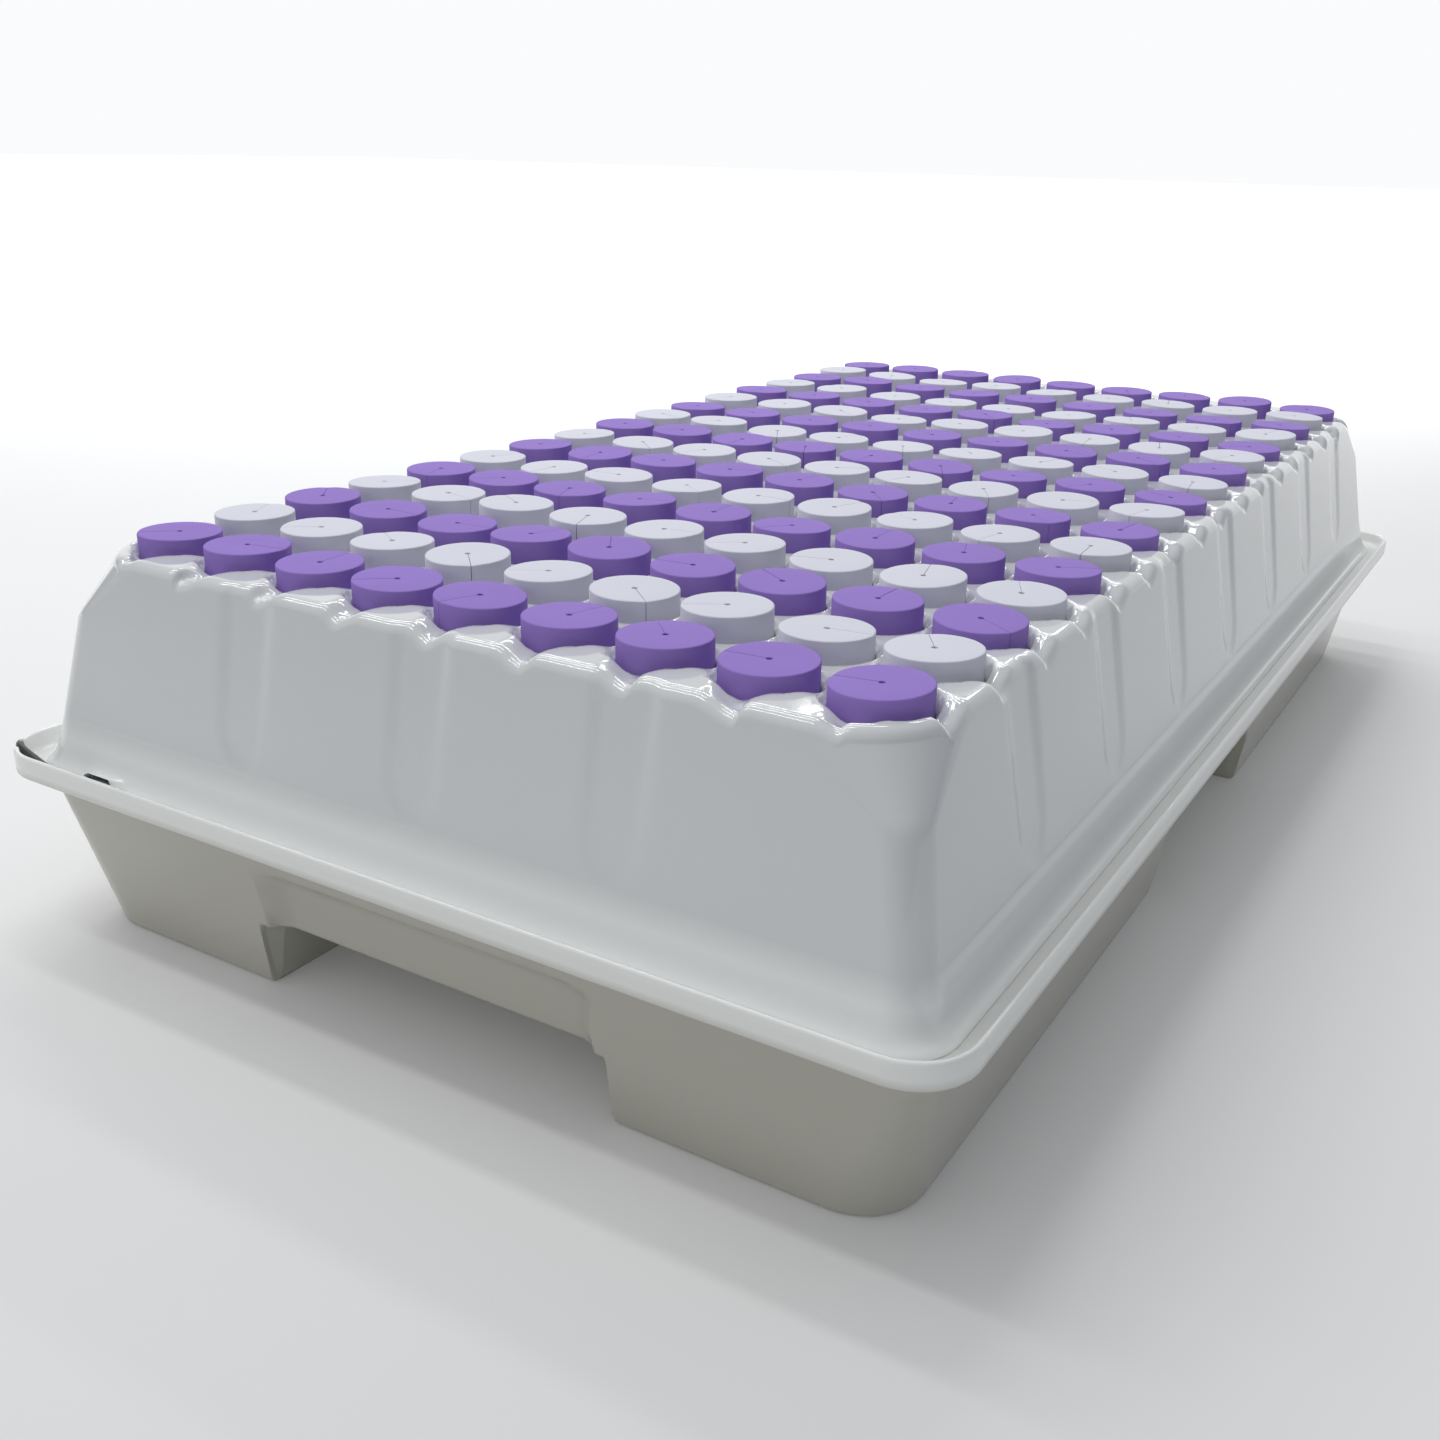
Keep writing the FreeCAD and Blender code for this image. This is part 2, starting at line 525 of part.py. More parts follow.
# ---------------------------------------------------------------- power cord
def make_cord():
    half_w, height = TUNNEL_HALF_W - 0.3, TUNNEL_H - 0.4
    grommet = box(-GROMMET_LENGTH, 0, -half_w, half_w, 0, height)
    grommet = rounded(grommet, 2.0, lambda e: e.BoundBox.XLength > GROMMET_LENGTH - 1 and e.BoundBox.ZMin > 1)
    grommet = at(grommet, CORD_EXIT.x, CORD_EXIT.y, FLANGE_Z, 180.0 + TUNNEL_ANGLE)
    bore = cylinder(CORD_R, CORD_EXIT - CORD_WAY * 40.0, CORD_EXIT + CORD_WAY * 2.0)
    add("cord_grommet", grommet.cut(bore))
    rear = PUMP_Y - PUMP_HALF_Y
    inside = CORD_EXIT - CORD_WAY * 36.0
    lead = [(PUMP_X, rear + 4, SHAFT_Z), (PUMP_X, rear - 28, SHAFT_Z), (PUMP_X - 1, rear - 62, 44),
            (PUMP_X - 4, rear - 98, 58), (PUMP_X - 8, rear - 130, 78), (PUMP_X - 12, rear - 154, 100),
            tuple(inside), tuple(CORD_EXIT)]
    add("pump_lead", cord_tube("pump_lead", lead, CORD_R))
    coil_side = COIL_X + COIL_R
    route = [tuple(CORD_EXIT), tuple(CORD_EXIT + CORD_WAY * 15.0), (-272.0, -557.2, 114.0),
             (-293.0, -555.0, 118.0), (-311.0, -551.0, 119.4), (-326.0, -539.0, 115.0), (-335.0, -516.0, 106.0),
             (-338.0, -482.0, 90.0), (-335.0, -446.0, 66.0), (-327.0, -410.0, 38.0), (-317.0, -370.0, 14.0),
             (-307.0, -325.0, 3.0), (coil_side, -282.0, 3.4), (coil_side, COIL_Y, 3.4)]
    add("power_cord", cord_tube("power_cord", route, CORD_R))
    ring = turned([(COIL_R - COIL_HALF_W, 0), (COIL_R + COIL_HALF_W, 0), (COIL_R + COIL_HALF_W, COIL_H),
                   (COIL_R - COIL_HALF_W, COIL_H)], V(COIL_X, COIL_Y, COIL_Z0))
    ring = rounded(ring, 2.4, lambda e: True)
    add("power_cord_coil", ring)
    tie_in = box(-COIL_HALF_W - 0.15, COIL_HALF_W + 0.15, -2.0, 2.0, 0, COIL_H)
    tie_out = box(-COIL_HALF_W - TIE_T, COIL_HALF_W + TIE_T, -2.0, 2.0, -TIE_T, COIL_H + TIE_T)
    add("cord_tie", at(tie_out.cut(tie_in), COIL_X - COIL_R, COIL_Y, COIL_Z0))
    plug_y, plug_z = COIL_Y + 80.0, 7.0
    plug_x = coil_side
    tail = [(plug_x, COIL_Y, 12.6), (plug_x, COIL_Y + 16, 12.5), (plug_x, COIL_Y + 30, 9.8),
            (plug_x, COIL_Y + 44, plug_z), (plug_x, plug_y, plug_z)]
    add("power_cord_tail", cord_tube("power_cord_tail", tail, CORD_R))
    relief = turned([(CORD_R, 0), (CORD_R + 1.2, 0), (CORD_R + 3.0, 22), (CORD_R, 22)],
                    V(plug_x, plug_y - 22, plug_z), V(0, 1, 0))
    relief = relief.fuse(plug_body(plug_x, plug_y, plug_z))
    add("power_plug", relief)
    pin_xs = (plug_x + 9.3, plug_x - 9.3)
    pins = [cylinder(2.0, V(x, plug_y + 30, plug_z), V(x, plug_y + 53, plug_z)) for x in pin_xs]
    add("plug_pins", pins)


def plug_body(x, y, z):
    """Flat two-pin plug body with rounded shoulders."""
    body = box(x - 13, x + 13, y - 2, y + 34, z - 6.8, z + 6.8)
    body = rounded(body, 5.0, lambda e: e.BoundBox.YLength > 30)
    cord_hole = cylinder(CORD_R, V(x, y - 3, z), V(x, y, z))
    body = body.cut(cord_hole)
    for hand in (1, -1):
        body = body.cut(cylinder(2.0, V(x + hand * 9.3, y + 30, z), V(x + hand * 9.3, y + 35, z)))
    return body


# ---------------------------------------------------------------- build and write
make_reservoir()
make_lid()
make_collars()
make_pump()
make_manifold()
make_cord()

os.makedirs("parts", exist_ok=True)
for name, shape in NODES.items():
    if not shape.isValid():
        print("invalid shape:", name)
    shape.exportStep("parts/%s.step" % name)
print(len(NODES), "nodes")
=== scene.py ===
"""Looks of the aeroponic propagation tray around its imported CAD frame. Metres, +Z up."""
import bpy
import json
import math
import numpy as np
from mathutils import Matrix, Vector


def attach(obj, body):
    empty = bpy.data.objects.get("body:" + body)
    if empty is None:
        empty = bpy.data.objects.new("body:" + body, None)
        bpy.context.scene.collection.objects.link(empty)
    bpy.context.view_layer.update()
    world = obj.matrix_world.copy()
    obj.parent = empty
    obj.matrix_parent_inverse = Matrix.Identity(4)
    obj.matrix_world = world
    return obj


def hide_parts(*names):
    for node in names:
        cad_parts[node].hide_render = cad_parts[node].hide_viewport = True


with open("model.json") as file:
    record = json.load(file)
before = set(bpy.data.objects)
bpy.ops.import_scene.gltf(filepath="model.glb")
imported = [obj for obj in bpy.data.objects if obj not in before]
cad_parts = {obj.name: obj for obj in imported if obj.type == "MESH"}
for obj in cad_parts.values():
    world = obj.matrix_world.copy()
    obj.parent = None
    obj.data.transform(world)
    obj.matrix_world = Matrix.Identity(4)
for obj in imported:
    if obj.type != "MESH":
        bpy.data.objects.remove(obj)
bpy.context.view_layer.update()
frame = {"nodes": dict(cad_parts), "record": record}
rng = np.random.default_rng(7)

MM = 0.001
# ---------------------------------------------------------------- driving dimensions, in millimetres
PITCH, COLUMNS, ROWS = 59.0, 9, 17
COLLAR_R, COLLAR_TOP = 25.0, 252.5
LEDGE_Z, LEDGE_R = 224.0, 21.5                  # the ledge that a collar stands on
CUP_R, CUP_WALL_R, CUP_Z0 = 25.3, 27.3, 221.5   # a socket's inside, outside and underside
POCKET_Z, LAND_Z, DECK_Z = 236.5, 240.5, 244.2  # recesses round the collars, lands between, deck's edge
WALL = 3.0                                      # thickness of the plastic sheet

LID_BASE_A, LID_BASE_B, LID_BASE_R, LID_BASE_Z = 293.8, 537.5, 19.0, 140.0      # foot of the lid's walls
LID_SLOPE, LID_TOP_R = 0.185, 57.0
CORNER_Z = 205.0                # where the lid's corners start to open out into sloping facets
CORNER_DROP = 1.0               # how far the deck's level corners lie below the humps beside them
CORNER_FROM, CORNER_BAND = 0.25, 0.3            # where the corner gets level, as shares of its arc
LID_FLANGE_A, LID_FLANGE_B, LID_FLANGE_R = 306.5, 551.5, 32.0
FLANGE_Z = 109.5                # the gutter's floor, where the lid's flange rests
TUNNEL_HALF_W, TUNNEL_H = 3.2, 6.2              # the cord's tunnel through the flange
TUNNEL_WALL, TUNNEL_ROOF, TUNNEL_SIDE, TUNNEL_REACH = 1.8, 1.6, 1.6, 60.0
EDGE_R = 8.0                    # rounding of the deck's edge

POCKET_R, POCKET_SIDE = 25.2, 5.0               # where the side of a recess starts to rise, and its width
DIP_DEPTH = 0.8                 # how far a dip in the deck's edge goes down to the recess, as a share
DIP_HALF_W, DIP_NARROWS, DIP_END = 19.0, 5.0, 0.7 * PITCH
EDGE_BAND = 16.0                # width over which the deck changes towards its edge, starting from:
RISE_FROM, DIP_FROM, NARROW_FROM = 2.0, 8.0, 20.0       # distances beyond the outer collars' centres

FLUTE_Y, FLUTE_X = 2.25 * PITCH, 2.15 * PITCH   # spacing of the grooves on the long and short walls
FLUTES_Y, FLUTES_X = 3, 1                       # how many there are on each side of the middle one
FLUTE_Z, FLUTE_FADE = 139.0, 14.0               # their feet, and the height over which they fade in
FLUTE_ROUND = 0.2                               # the rounded share of their height, at the foot
FLUTE_HALF_W, FLUTE_WIDENS, FLUTE_SIDE = 20.0, 2.0, 9.0
FLUTE_DEPTH, FLUTE_DEEPENS = 0.7, 1.4

RIM_A, RIM_B, RIM_R = 321.0, 564.0, 34.0
RIM_Z0, LIP_Z, LIP_T = 106.5, 121.5, 3.5
GUTTER_IN = -19.0               # from the rim's outside to the gutter's inner side
NOTCH = (-311.0, -550.6)
NOTCH_HALF_W, NOTCH_SIDE, NOTCH_DEPTH = 4.05, 3.0, 6.3
FOOT_A, FOOT_B, FOOT_R = 286.0, 529.0, 38.0
BODY_A, BODY_B, BODY_R = 302.0, 545.0, 15.0
CHANNEL_LOW, CHANNEL_HIGH = 120.0, 114.0        # half width of the crosswise channel, floor and top
CHANNEL_EXTRA, CHANNEL_SIDE = 4.0, 4.0          # how much wider the lengthwise one is; its softer side
BELLY_Z = 42.0                  # top of the channels
RECESS_DEPTH, RECESS_Z = 8.0, 87.0              # how far and how high the walls are set back between feet
RECESS_WIDER, RECESS_SIDE, RECESS_FADE = 1.0, 6.0, 11.0
FOOT_EDGE_R = 5.0
FILLET_DROP = 4.0               # height of the fillet under the rim
FLOOR_FILLET = 5.0              # height of the fillet round the inside floor


def smooth(t):
    """Eases from 0 to 1 as t goes from 0 to 1, and stays level beyond."""
    t = np.clip(t, 0.0, 1.0)
    return t * t * (3 - 2 * t)


# ---------------------------------------------------------------- mesh building
class Skin:
    """Collects points, in millimetres, and the quads between them."""

    def __init__(self):
        self.blocks, self.faces, self.count = [], [], 0

    def points(self, xyz):
        xyz = np.asarray(xyz, float).reshape(-1, 3)
        start = self.count
        self.blocks.append(xyz)
        self.count += len(xyz)
        return np.arange(start, self.count)

    def rings(self, rows):
        """Quads between neighbouring rings, which all have the same number of points."""
        for low, high in zip(rows, rows[1:]):
            self.faces.append(np.stack([low, np.roll(low, -1), np.roll(high, -1), high], 1))

    def make(self, name, mat, sharp=40.0):
        xyz = np.concatenate(self.blocks) * MM
        faces = np.concatenate(self.faces)
        mesh = bpy.data.meshes.new(name)
        mesh.from_pydata(xyz.tolist(), [], faces.tolist())
        mesh.validate()
        mesh.update()
        mesh.shade_smooth()
        mesh.set_sharp_from_angle(angle=math.radians(sharp))
        obj = bpy.data.objects.new(name, mesh)
        bpy.context.scene.collection.objects.link(obj)
        mesh.materials.append(mat)
        return obj


class Outline:
    """Points round a rectangle of half sizes a and b that maps onto rounded rectangles of other sizes."""

    def __init__(self, xy, a, b, r):
        self.xy, self.a, self.b, self.r = np.asarray(xy, float), a, b, r
        self.sign = np.where(self.xy >= 0, 1.0, -1.0)
        size = np.abs(self.xy)
        self.u, self.v = (size[:, 0] - (a - r)) / r, (size[:, 1] - (b - r)) / r
        self.corner = (self.u > 1e-9) & (self.v > 1e-9)
        u, v = np.clip(self.u, 0, 1), np.clip(self.v, 0, 1)
        self.theta = np.arctan2(v * np.sqrt(1 - u * u / 2), u * np.sqrt(1 - v * v / 2))
        self.on_x = np.abs(size[:, 0] - a) < 1e-6
        straight = np.where(self.on_x, 0.0, math.pi / 2)
        self.theta = np.where(self.corner, self.theta, straight)
        self.out = np.stack([np.cos(self.theta), np.sin(self.theta)], 1) * self.sign

    def ring(self, a, b, r, z):
        """The outline at half sizes a and b, corner radius r and height z; each may be one per point."""
        cx, cy = a - r, b - r
        x = np.where(self.corner | self.on_x, cx + r * np.cos(self.theta),
                     np.abs(self.xy[:, 0]) * cx / (self.a - self.r))
        y = np.where(self.corner | ~self.on_x, cy + r * np.sin(self.theta),
                     np.abs(self.xy[:, 1]) * cy / (self.b - self.r))
        flat = np.stack([x, y], 1) * self.sign
        return np.column_stack([flat, np.broadcast_to(z, len(flat))])

    def pushed(self, ring, distance):
        """The ring moved outward by a distance, a number or one per point."""
        moved = ring.copy()
        moved[:, :2] += self.out * np.broadcast_to(distance, len(ring))[:, None]
        return moved


def squared_to_round(xy, a, b, r):
    """Moves points in the corner squares of a rectangle into its rounded corners."""
    sign, size = np.where(xy >= 0, 1.0, -1.0), np.abs(xy)
    u, v = (size[:, 0] - (a - r)) / r, (size[:, 1] - (b - r)) / r
    inside = (u > 0) & (v > 0)
    x = np.where(inside, a - r + r * u * np.sqrt(np.clip(1 - v * v / 2, 0, 1)), size[:, 0])
    y = np.where(inside, b - r + r * v * np.sqrt(np.clip(1 - u * u / 2, 0, 1)), size[:, 1])
    return np.stack([x, y], 1) * sign


# ---------------------------------------------------------------- materials
def material(name, color, rough=0.4, vary=0.04, grain=0.05, grain_scale=900.0, patch_scale=9.0,
             bump_mm=0.05, rough_vary=0.08, **sockets):
    """Plastic, foam or rubber with soft patches of colour, uneven gloss and a fine grain."""
    mat = bpy.data.materials.new(name + "_look")
    mat.use_nodes = True
    nodes, links = mat.node_tree.nodes, mat.node_tree.links
    shader = nodes["Principled BSDF"]
    for socket, value in sockets.items():
        shader.inputs[socket.replace("_", " ")].default_value = value
    where = nodes.new("ShaderNodeTexCoord")
    patches = nodes.new("ShaderNodeTexNoise")
    patches.inputs["Scale"].default_value = patch_scale
    patches.inputs["Detail"].default_value = 4.0
    fine = nodes.new("ShaderNodeTexNoise")
    fine.inputs["Scale"].default_value = grain_scale
    fine.inputs["Detail"].default_value = 3.0
    for noise in (patches, fine):
        links.new(where.outputs["Object"], noise.inputs["Vector"])
    mixed = nodes.new("ShaderNodeMath")
    mixed.operation = "MULTIPLY_ADD"
    mixed.inputs[1].default_value = grain
    links.new(fine.outputs["Fac"], mixed.inputs[0])
    links.new(patches.outputs["Fac"], mixed.inputs[2])
    ramp = nodes.new("ShaderNodeValToRGB")
    ramp.color_ramp.elements[0].position = 0.2
    ramp.color_ramp.elements[1].position = 0.8 + grain
    ramp.color_ramp.interpolation = "EASE"
    dark = [c * (1 - vary) for c in color]
    light = [min(1.0, c * (1 + vary)) for c in color]
    ramp.color_ramp.elements[0].color = (*dark, 1)
    ramp.color_ramp.elements[1].color = (*light, 1)
    links.new(mixed.outputs["Value"], ramp.inputs["Fac"])
    links.new(ramp.outputs["Color"], shader.inputs["Base Color"])
    gloss = nodes.new("ShaderNodeMapRange")
    gloss.inputs["To Min"].default_value = max(0.02, rough - rough_vary)
    gloss.inputs["To Max"].default_value = rough + rough_vary
    links.new(patches.outputs["Fac"], gloss.inputs["Value"])
    links.new(gloss.outputs["Result"], shader.inputs["Roughness"])
    bump = nodes.new("ShaderNodeBump")
    bump.inputs["Distance"].default_value = bump_mm * MM
    bump.inputs["Strength"].default_value = 0.6
    links.new(fine.outputs["Fac"], bump.inputs["Height"])
    links.new(bump.outputs["Normal"], shader.inputs["Normal"])
    return mat


def paint_light_by_height(mat, color, start, full):
    """Paints light or shade into the colour: fades the material to another colour from one object height to
    another, up or down.
    """
    nodes, links = mat.node_tree.nodes, mat.node_tree.links
    base = nodes["Principled BSDF"].inputs["Base Color"]
    before = base.links[0].from_socket
    where = nodes.new("ShaderNodeTexCoord")
    split = nodes.new("ShaderNodeSeparateXYZ")
    links.new(where.outputs["Object"], split.inputs["Vector"])
    fade = nodes.new("ShaderNodeMapRange")
    fade.inputs["From Min"].default_value = start * MM
    fade.inputs["From Max"].default_value = full * MM
    links.new(split.outputs["Z"], fade.inputs["Value"])
    mix = nodes.new("ShaderNodeMix")
    mix.data_type = "RGBA"
    links.new(fade.outputs["Result"], mix.inputs["Factor"])
    links.new(before, mix.inputs["A"])
    mix.inputs["B"].default_value = (*color, 1)
    links.new(mix.outputs["Result"], base)


lid_mat = material("lid_plastic", (0.66, 0.675, 0.68), rough=0.08, vary=0.012, grain=0.02,
                   grain_scale=160.0, patch_scale=5.0, bump_mm=0.01, rough_vary=0.03,
                   Coat_Weight=0.5, Coat_Roughness=0.02)
# painted shade: the reservoir's walls and underside are white plastic in shade under the rim, painted here
# as a darker brownish grey
reservoir_mat = material("reservoir_plastic", (0.475, 0.465, 0.405), rough=0.24, vary=0.02, grain=0.04,
                         grain_scale=220.0, patch_scale=3.0, bump_mm=0.02, rough_vary=0.03,
                         Coat_Weight=0.3, Coat_Roughness=0.08)
# painted light: the lid's cove and flange and the reservoir's rim face up, and are painted paler than the
# rest of them, as if lit
paint_light_by_height(lid_mat, (0.87, 0.885, 0.88), 143.0, 129.0)
paint_light_by_height(reservoir_mat, (0.83, 0.84, 0.82), 104.0, 112.0)
purple_mat = material("purple_foam", (0.295, 0.19, 0.56), rough=0.8, vary=0.05, grain=0.15,
                      grain_scale=1400.0, patch_scale=14.0, bump_mm=0.12, Specular_IOR_Level=0.2)
white_mat = material("white_foam", (0.655, 0.66, 0.735), rough=0.8, vary=0.02, grain=0.10,
                     grain_scale=1400.0, patch_scale=14.0, bump_mm=0.12, Specular_IOR_Level=0.2)
cord_mat = material("cord_rubber", (0.012, 0.012, 0.014), rough=0.38, vary=0.2, grain_scale=700.0)
FINISH = {
    "pump_plastic": material("pump_plastic", (0.03, 0.03, 0.035), rough=0.42, vary=0.15,
                             grain_scale=1500.0, bump_mm=0.12),
    "potting_resin": material("potting_resin", (0.02, 0.02, 0.022), rough=0.25, vary=0.2),
    "seal_rubber": material("seal_rubber", (0.035, 0.035, 0.035), rough=0.6, vary=0.2),
    "ceramic_shaft": material("ceramic_shaft", (0.85, 0.83, 0.78), rough=0.12, vary=0.02),
    "ferrite": material("ferrite", (0.07, 0.07, 0.075), rough=0.45, vary=0.15, Metallic=0.3),
    "impeller_plastic": material("impeller_plastic", (0.12, 0.12, 0.14), rough=0.4, vary=0.1),
    "dial_plastic": material("dial_plastic", (0.45, 0.46, 0.48), rough=0.4, vary=0.05),
    "pipe_plastic": material("pipe_plastic", (0.78, 0.79, 0.79), rough=0.3, vary=0.03, grain_scale=500.0),
    "fitting_plastic": material("fitting_plastic", (0.72, 0.73, 0.74), rough=0.35, vary=0.03,
                                grain_scale=1200.0),
    "nozzle_plastic": material("nozzle_plastic", (0.05, 0.16, 0.42), rough=0.35, vary=0.08),
    "plug_plastic": material("plug_plastic", (0.015, 0.015, 0.017), rough=0.45, vary=0.2,
                             grain_scale=1500.0, bump_mm=0.12),
    "pin_brass": material("pin_brass", (0.78, 0.62, 0.30), rough=0.22, vary=0.08, Metallic=1.0),
    "cord_rubber": cord_mat,
}


def dress_cad_nodes():
    """Gives the CAD's own nodes, such as the pump and the pipes, their looks."""
    slots = {s["node"]: s["material_slot"] for s in frame["record"]["subparts"]}
    for name, obj in frame["nodes"].items():
        if slots[name] in FINISH:
            obj.data.materials.clear()
            obj.data.materials.append(FINISH[slots[name]])


# ---------------------------------------------------------------- camera
CAMERA_AT = Vector((0.4990, -1.0510, 0.4766))
CAMERA_AHEAD = Vector((-0.4806, 0.7983, -0.3629))
CAMERA_RIGHT = Vector((0.8523, 0.5226, 0.0206))
LENS, SENSOR = 36.868, 36.0


def make_camera():
    """The camera, in front of the tray's near right corner and a little above it."""
    data = bpy.data.cameras.new("camera")
    data.lens, data.sensor_width = LENS, SENSOR
    camera = bpy.data.objects.new("camera", data)
    bpy.context.scene.collection.objects.link(camera)
    ahead = CAMERA_AHEAD.normalized()
    right = (CAMERA_RIGHT - ahead * CAMERA_RIGHT.dot(ahead)).normalized()
    up = right.cross(ahead)
    turned = Matrix((right, up, -ahead)).transposed().to_4x4()
    camera.matrix_world = Matrix.Translation(CAMERA_AT) @ turned
    bpy.context.scene.camera = camera


make_camera()

# ---------------------------------------------------------------- power cord
CORD_R = 2.5
COIL_R, COIL_X, COIL_Y, COIL_Z0 = 27.5, -331.0, -240.0, 0.8
COIL_SIDE = COIL_X + COIL_R
CORD_EXIT = (-236.0, -551.5, 112.5)
CORD_ROUTE = [CORD_EXIT, (-249.595, -557.839, 112.5), (-272.0, -557.2, 114.0), (-293.0, -555.0, 118.0),
              (-311.0, -551.0, 119.4), (-326.0, -539.0, 115.0), (-335.0, -516.0, 106.0),
              (-338.0, -482.0, 90.0), (-335.0, -446.0, 66.0), (-327.0, -410.0, 38.0),
              (-317.0, -370.0, 14.0), (-307.0, -325.0, 3.0), (COIL_SIDE, -282.0, 3.4)]
CORD_TAIL = [(COIL_SIDE, COIL_Y + 16, 12.5), (COIL_SIDE, COIL_Y + 30, 9.8), (COIL_SIDE, COIL_Y + 44, 7.0),
             (COIL_SIDE, COIL_Y + 80, 7.0)]
TURN_STEPS = 14
TURNS = [(30.0, 0), (25.0, 0), (25.0, 1), (30.0, 1), (30.0, 2), (25.0, 2)]     # radius and layer


def coil_points():
    """The turns of the put-away coil, anticlockwise from its side nearest the tray."""
    points = []
    grow = 1 / math.cos(math.pi / TURN_STEPS) ** 1.5    # the curve cuts inside its points
    for index, (radius, layer) in enumerate(TURNS):
        after = TURNS[min(index + 1, len(TURNS) - 1)]
        for step in range(TURN_STEPS):
            if index == 0 and step == 0:
                continue
            angle = 2 * math.pi * step / TURN_STEPS
            share = float(smooth((step / TURN_STEPS - 0.75) / 0.25))
            r = (radius + (after[0] - radius) * share) * grow
            z = COIL_Z0 + CORD_R + 2 * CORD_R * (layer + (after[1] - layer) * share)
            points.append((COIL_X + r * math.cos(angle), COIL_Y + r * math.sin(angle), z))
    return points


def make_cord():
    points = CORD_ROUTE + coil_points() + CORD_TAIL
    data = bpy.data.curves.new("power_cord_skin", "CURVE")
    data.dimensions = "3D"
    data.bevel_depth = CORD_R * MM
    data.bevel_resolution = 4
    data.resolution_u = 8
    data.use_fill_caps = True
    spline = data.splines.new("NURBS")
    spline.points.add(len(points) - 1)
    for point, place in zip(spline.points, points):
        point.co = (*[c * MM for c in place], 1.0)
    spline.order_u = 3
    spline.use_endpoint_u = True
    obj = bpy.data.objects.new("power_cord_skin", data)
    bpy.context.scene.collection.objects.link(obj)
    data.materials.append(cord_mat)
    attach(obj, "reservoir")
    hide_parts("power_cord", "power_cord_coil", "power_cord_tail")


make_cord()
dress_cad_nodes()


# ---------------------------------------------------------------- lid
def column_x(column):
    return (column - (COLUMNS - 1) / 2) * PITCH


def row_y(row):
    return (row - (ROWS - 1) / 2) * PITCH


def wall_at(base, z):
    """Half the lid's size at a height, which shrinks upwards from that at the foot of its walls."""
    return base - LID_SLOPE * (z - LID_BASE_Z)


LEAN = math.atan2(1.0, LID_SLOPE)          # how far the deck's edge turns over
EDGE_IN, EDGE_DOWN = EDGE_R * math.sin(LEAN), EDGE_R * (1 - math.cos(LEAN))
DECK_A = wall_at(LID_BASE_A, DECK_Z - EDGE_DOWN) - EDGE_IN
DECK_B = wall_at(LID_BASE_B, DECK_Z - EDGE_DOWN) - EDGE_IN
DECK_R = LID_TOP_R - EDGE_IN
UNDER_Z = POCKET_Z - WALL                   # underside of the deck
SIDE_STEPS = 20                             # mesh steps along one side of a collar's cell
WALL_ROWS = 40
CELL_SHARES = [0.0, 0.1, 0.2, 0.3, 0.4, 0.52, 0.64, 0.76, 0.88]     # from a socket out to its cell's sides
EDGE_SHARES = [0.0, 0.2, 0.4, 0.6, 0.8, 0.9]                        # round the deck's edge
INSIDE_SHARES = [0.0, 0.25, 0.5, 0.75, 0.9, 1.0]                    # up the inside of the wall
# the concave cove from the wall into the flange, then round its edge: share of the way out, and height
COVE = [(0.05, 138.0), (0.13, 134.0), (0.22, 130.0), (0.32, 126.0), (0.42, 122.0), (0.51, 119.0),
        (0.61, 116.6), (0.71, 114.8), (0.81, 113.6), (0.88, 112.8), (0.94, 112.0), (0.98, 111.1),
        (1.0, 110.4), (1.0, 109.9), (0.99, FLANGE_Z)]
COVE_INSIDE = [(0.55, FLANGE_Z), (0.42, 111.5), (0.29, 116.0), (0.10, 121.5), (-0.10, 129.0)]


def deck_height(xy):
    """Lands between the collars, with a pocket at each collar and a dip beside each outer one."""
    x, y = xy[:, 0], xy[:, 1]
    last_x, last_y = COLUMNS // 2, ROWS // 2
    cx = np.clip(np.round(x / PITCH), -last_x, last_x) * PITCH
    cy = np.clip(np.round(y / PITCH), -last_y, last_y) * PITCH
    lift = smooth((np.hypot(x - cx, y - cy) - POCKET_R) / POCKET_SIDE)
    beyond_x, beyond_y = np.abs(x) - last_x * PITCH, np.abs(y) - last_y * PITCH
    for beyond, along in ((beyond_x, np.abs(y - cy)), (beyond_y, np.abs(x - cx))):
        half = DIP_HALF_W - DIP_NARROWS * smooth((beyond - NARROW_FROM) / EDGE_BAND)
        dip = 1 - DIP_DEPTH * smooth((beyond - DIP_FROM) / EDGE_BAND) * (1 - smooth(along / half))
        lift = np.minimum(lift, np.where(along < DIP_END, dip, 1.0))
    outward = smooth((np.maximum(beyond_x, beyond_y) - RISE_FROM) / EDGE_BAND)
    land = LAND_Z + (DECK_Z - LAND_Z) * outward
    return POCKET_Z + (land - POCKET_Z) * lift


def flute_depth(outline, ring):
    """How far each point of a wall ring is pushed in by the grooves."""
    z = ring[:, 2]
    along = np.where(outline.on_x, ring[:, 1], ring[:, 0])
    step = np.where(outline.on_x, FLUTE_Y, FLUTE_X)
    last = np.where(outline.on_x, FLUTES_Y, FLUTES_X)
    off = np.abs(along - np.clip(np.round(along / step), -last, last) * step)
    up = np.clip((z - FLUTE_Z) / (DECK_Z - FLUTE_Z), 0, 1)
    half = FLUTE_HALF_W * np.sqrt(np.clip(up / FLUTE_ROUND, 0, 1)) + FLUTE_WIDENS * up
    groove = smooth((half - off) / FLUTE_SIDE) * smooth((z - FLUTE_Z) / FLUTE_FADE)
    return np.where(outline.corner, 0.0, (FLUTE_DEPTH + FLUTE_DEEPENS * up) * groove)


def lid_cell_bounds(column, row):
    """A collar's own square of the deck; those along the edge reach out to it."""
    x, y = column_x(column), row_y(row)
    x0 = -DECK_A if column == 0 else x - PITCH / 2
    x1 = DECK_A if column == COLUMNS - 1 else x + PITCH / 2
    y0 = -DECK_B if row == 0 else y - PITCH / 2
    y1 = DECK_B if row == ROWS - 1 else y + PITCH / 2
    return x0, x1, y0, y1


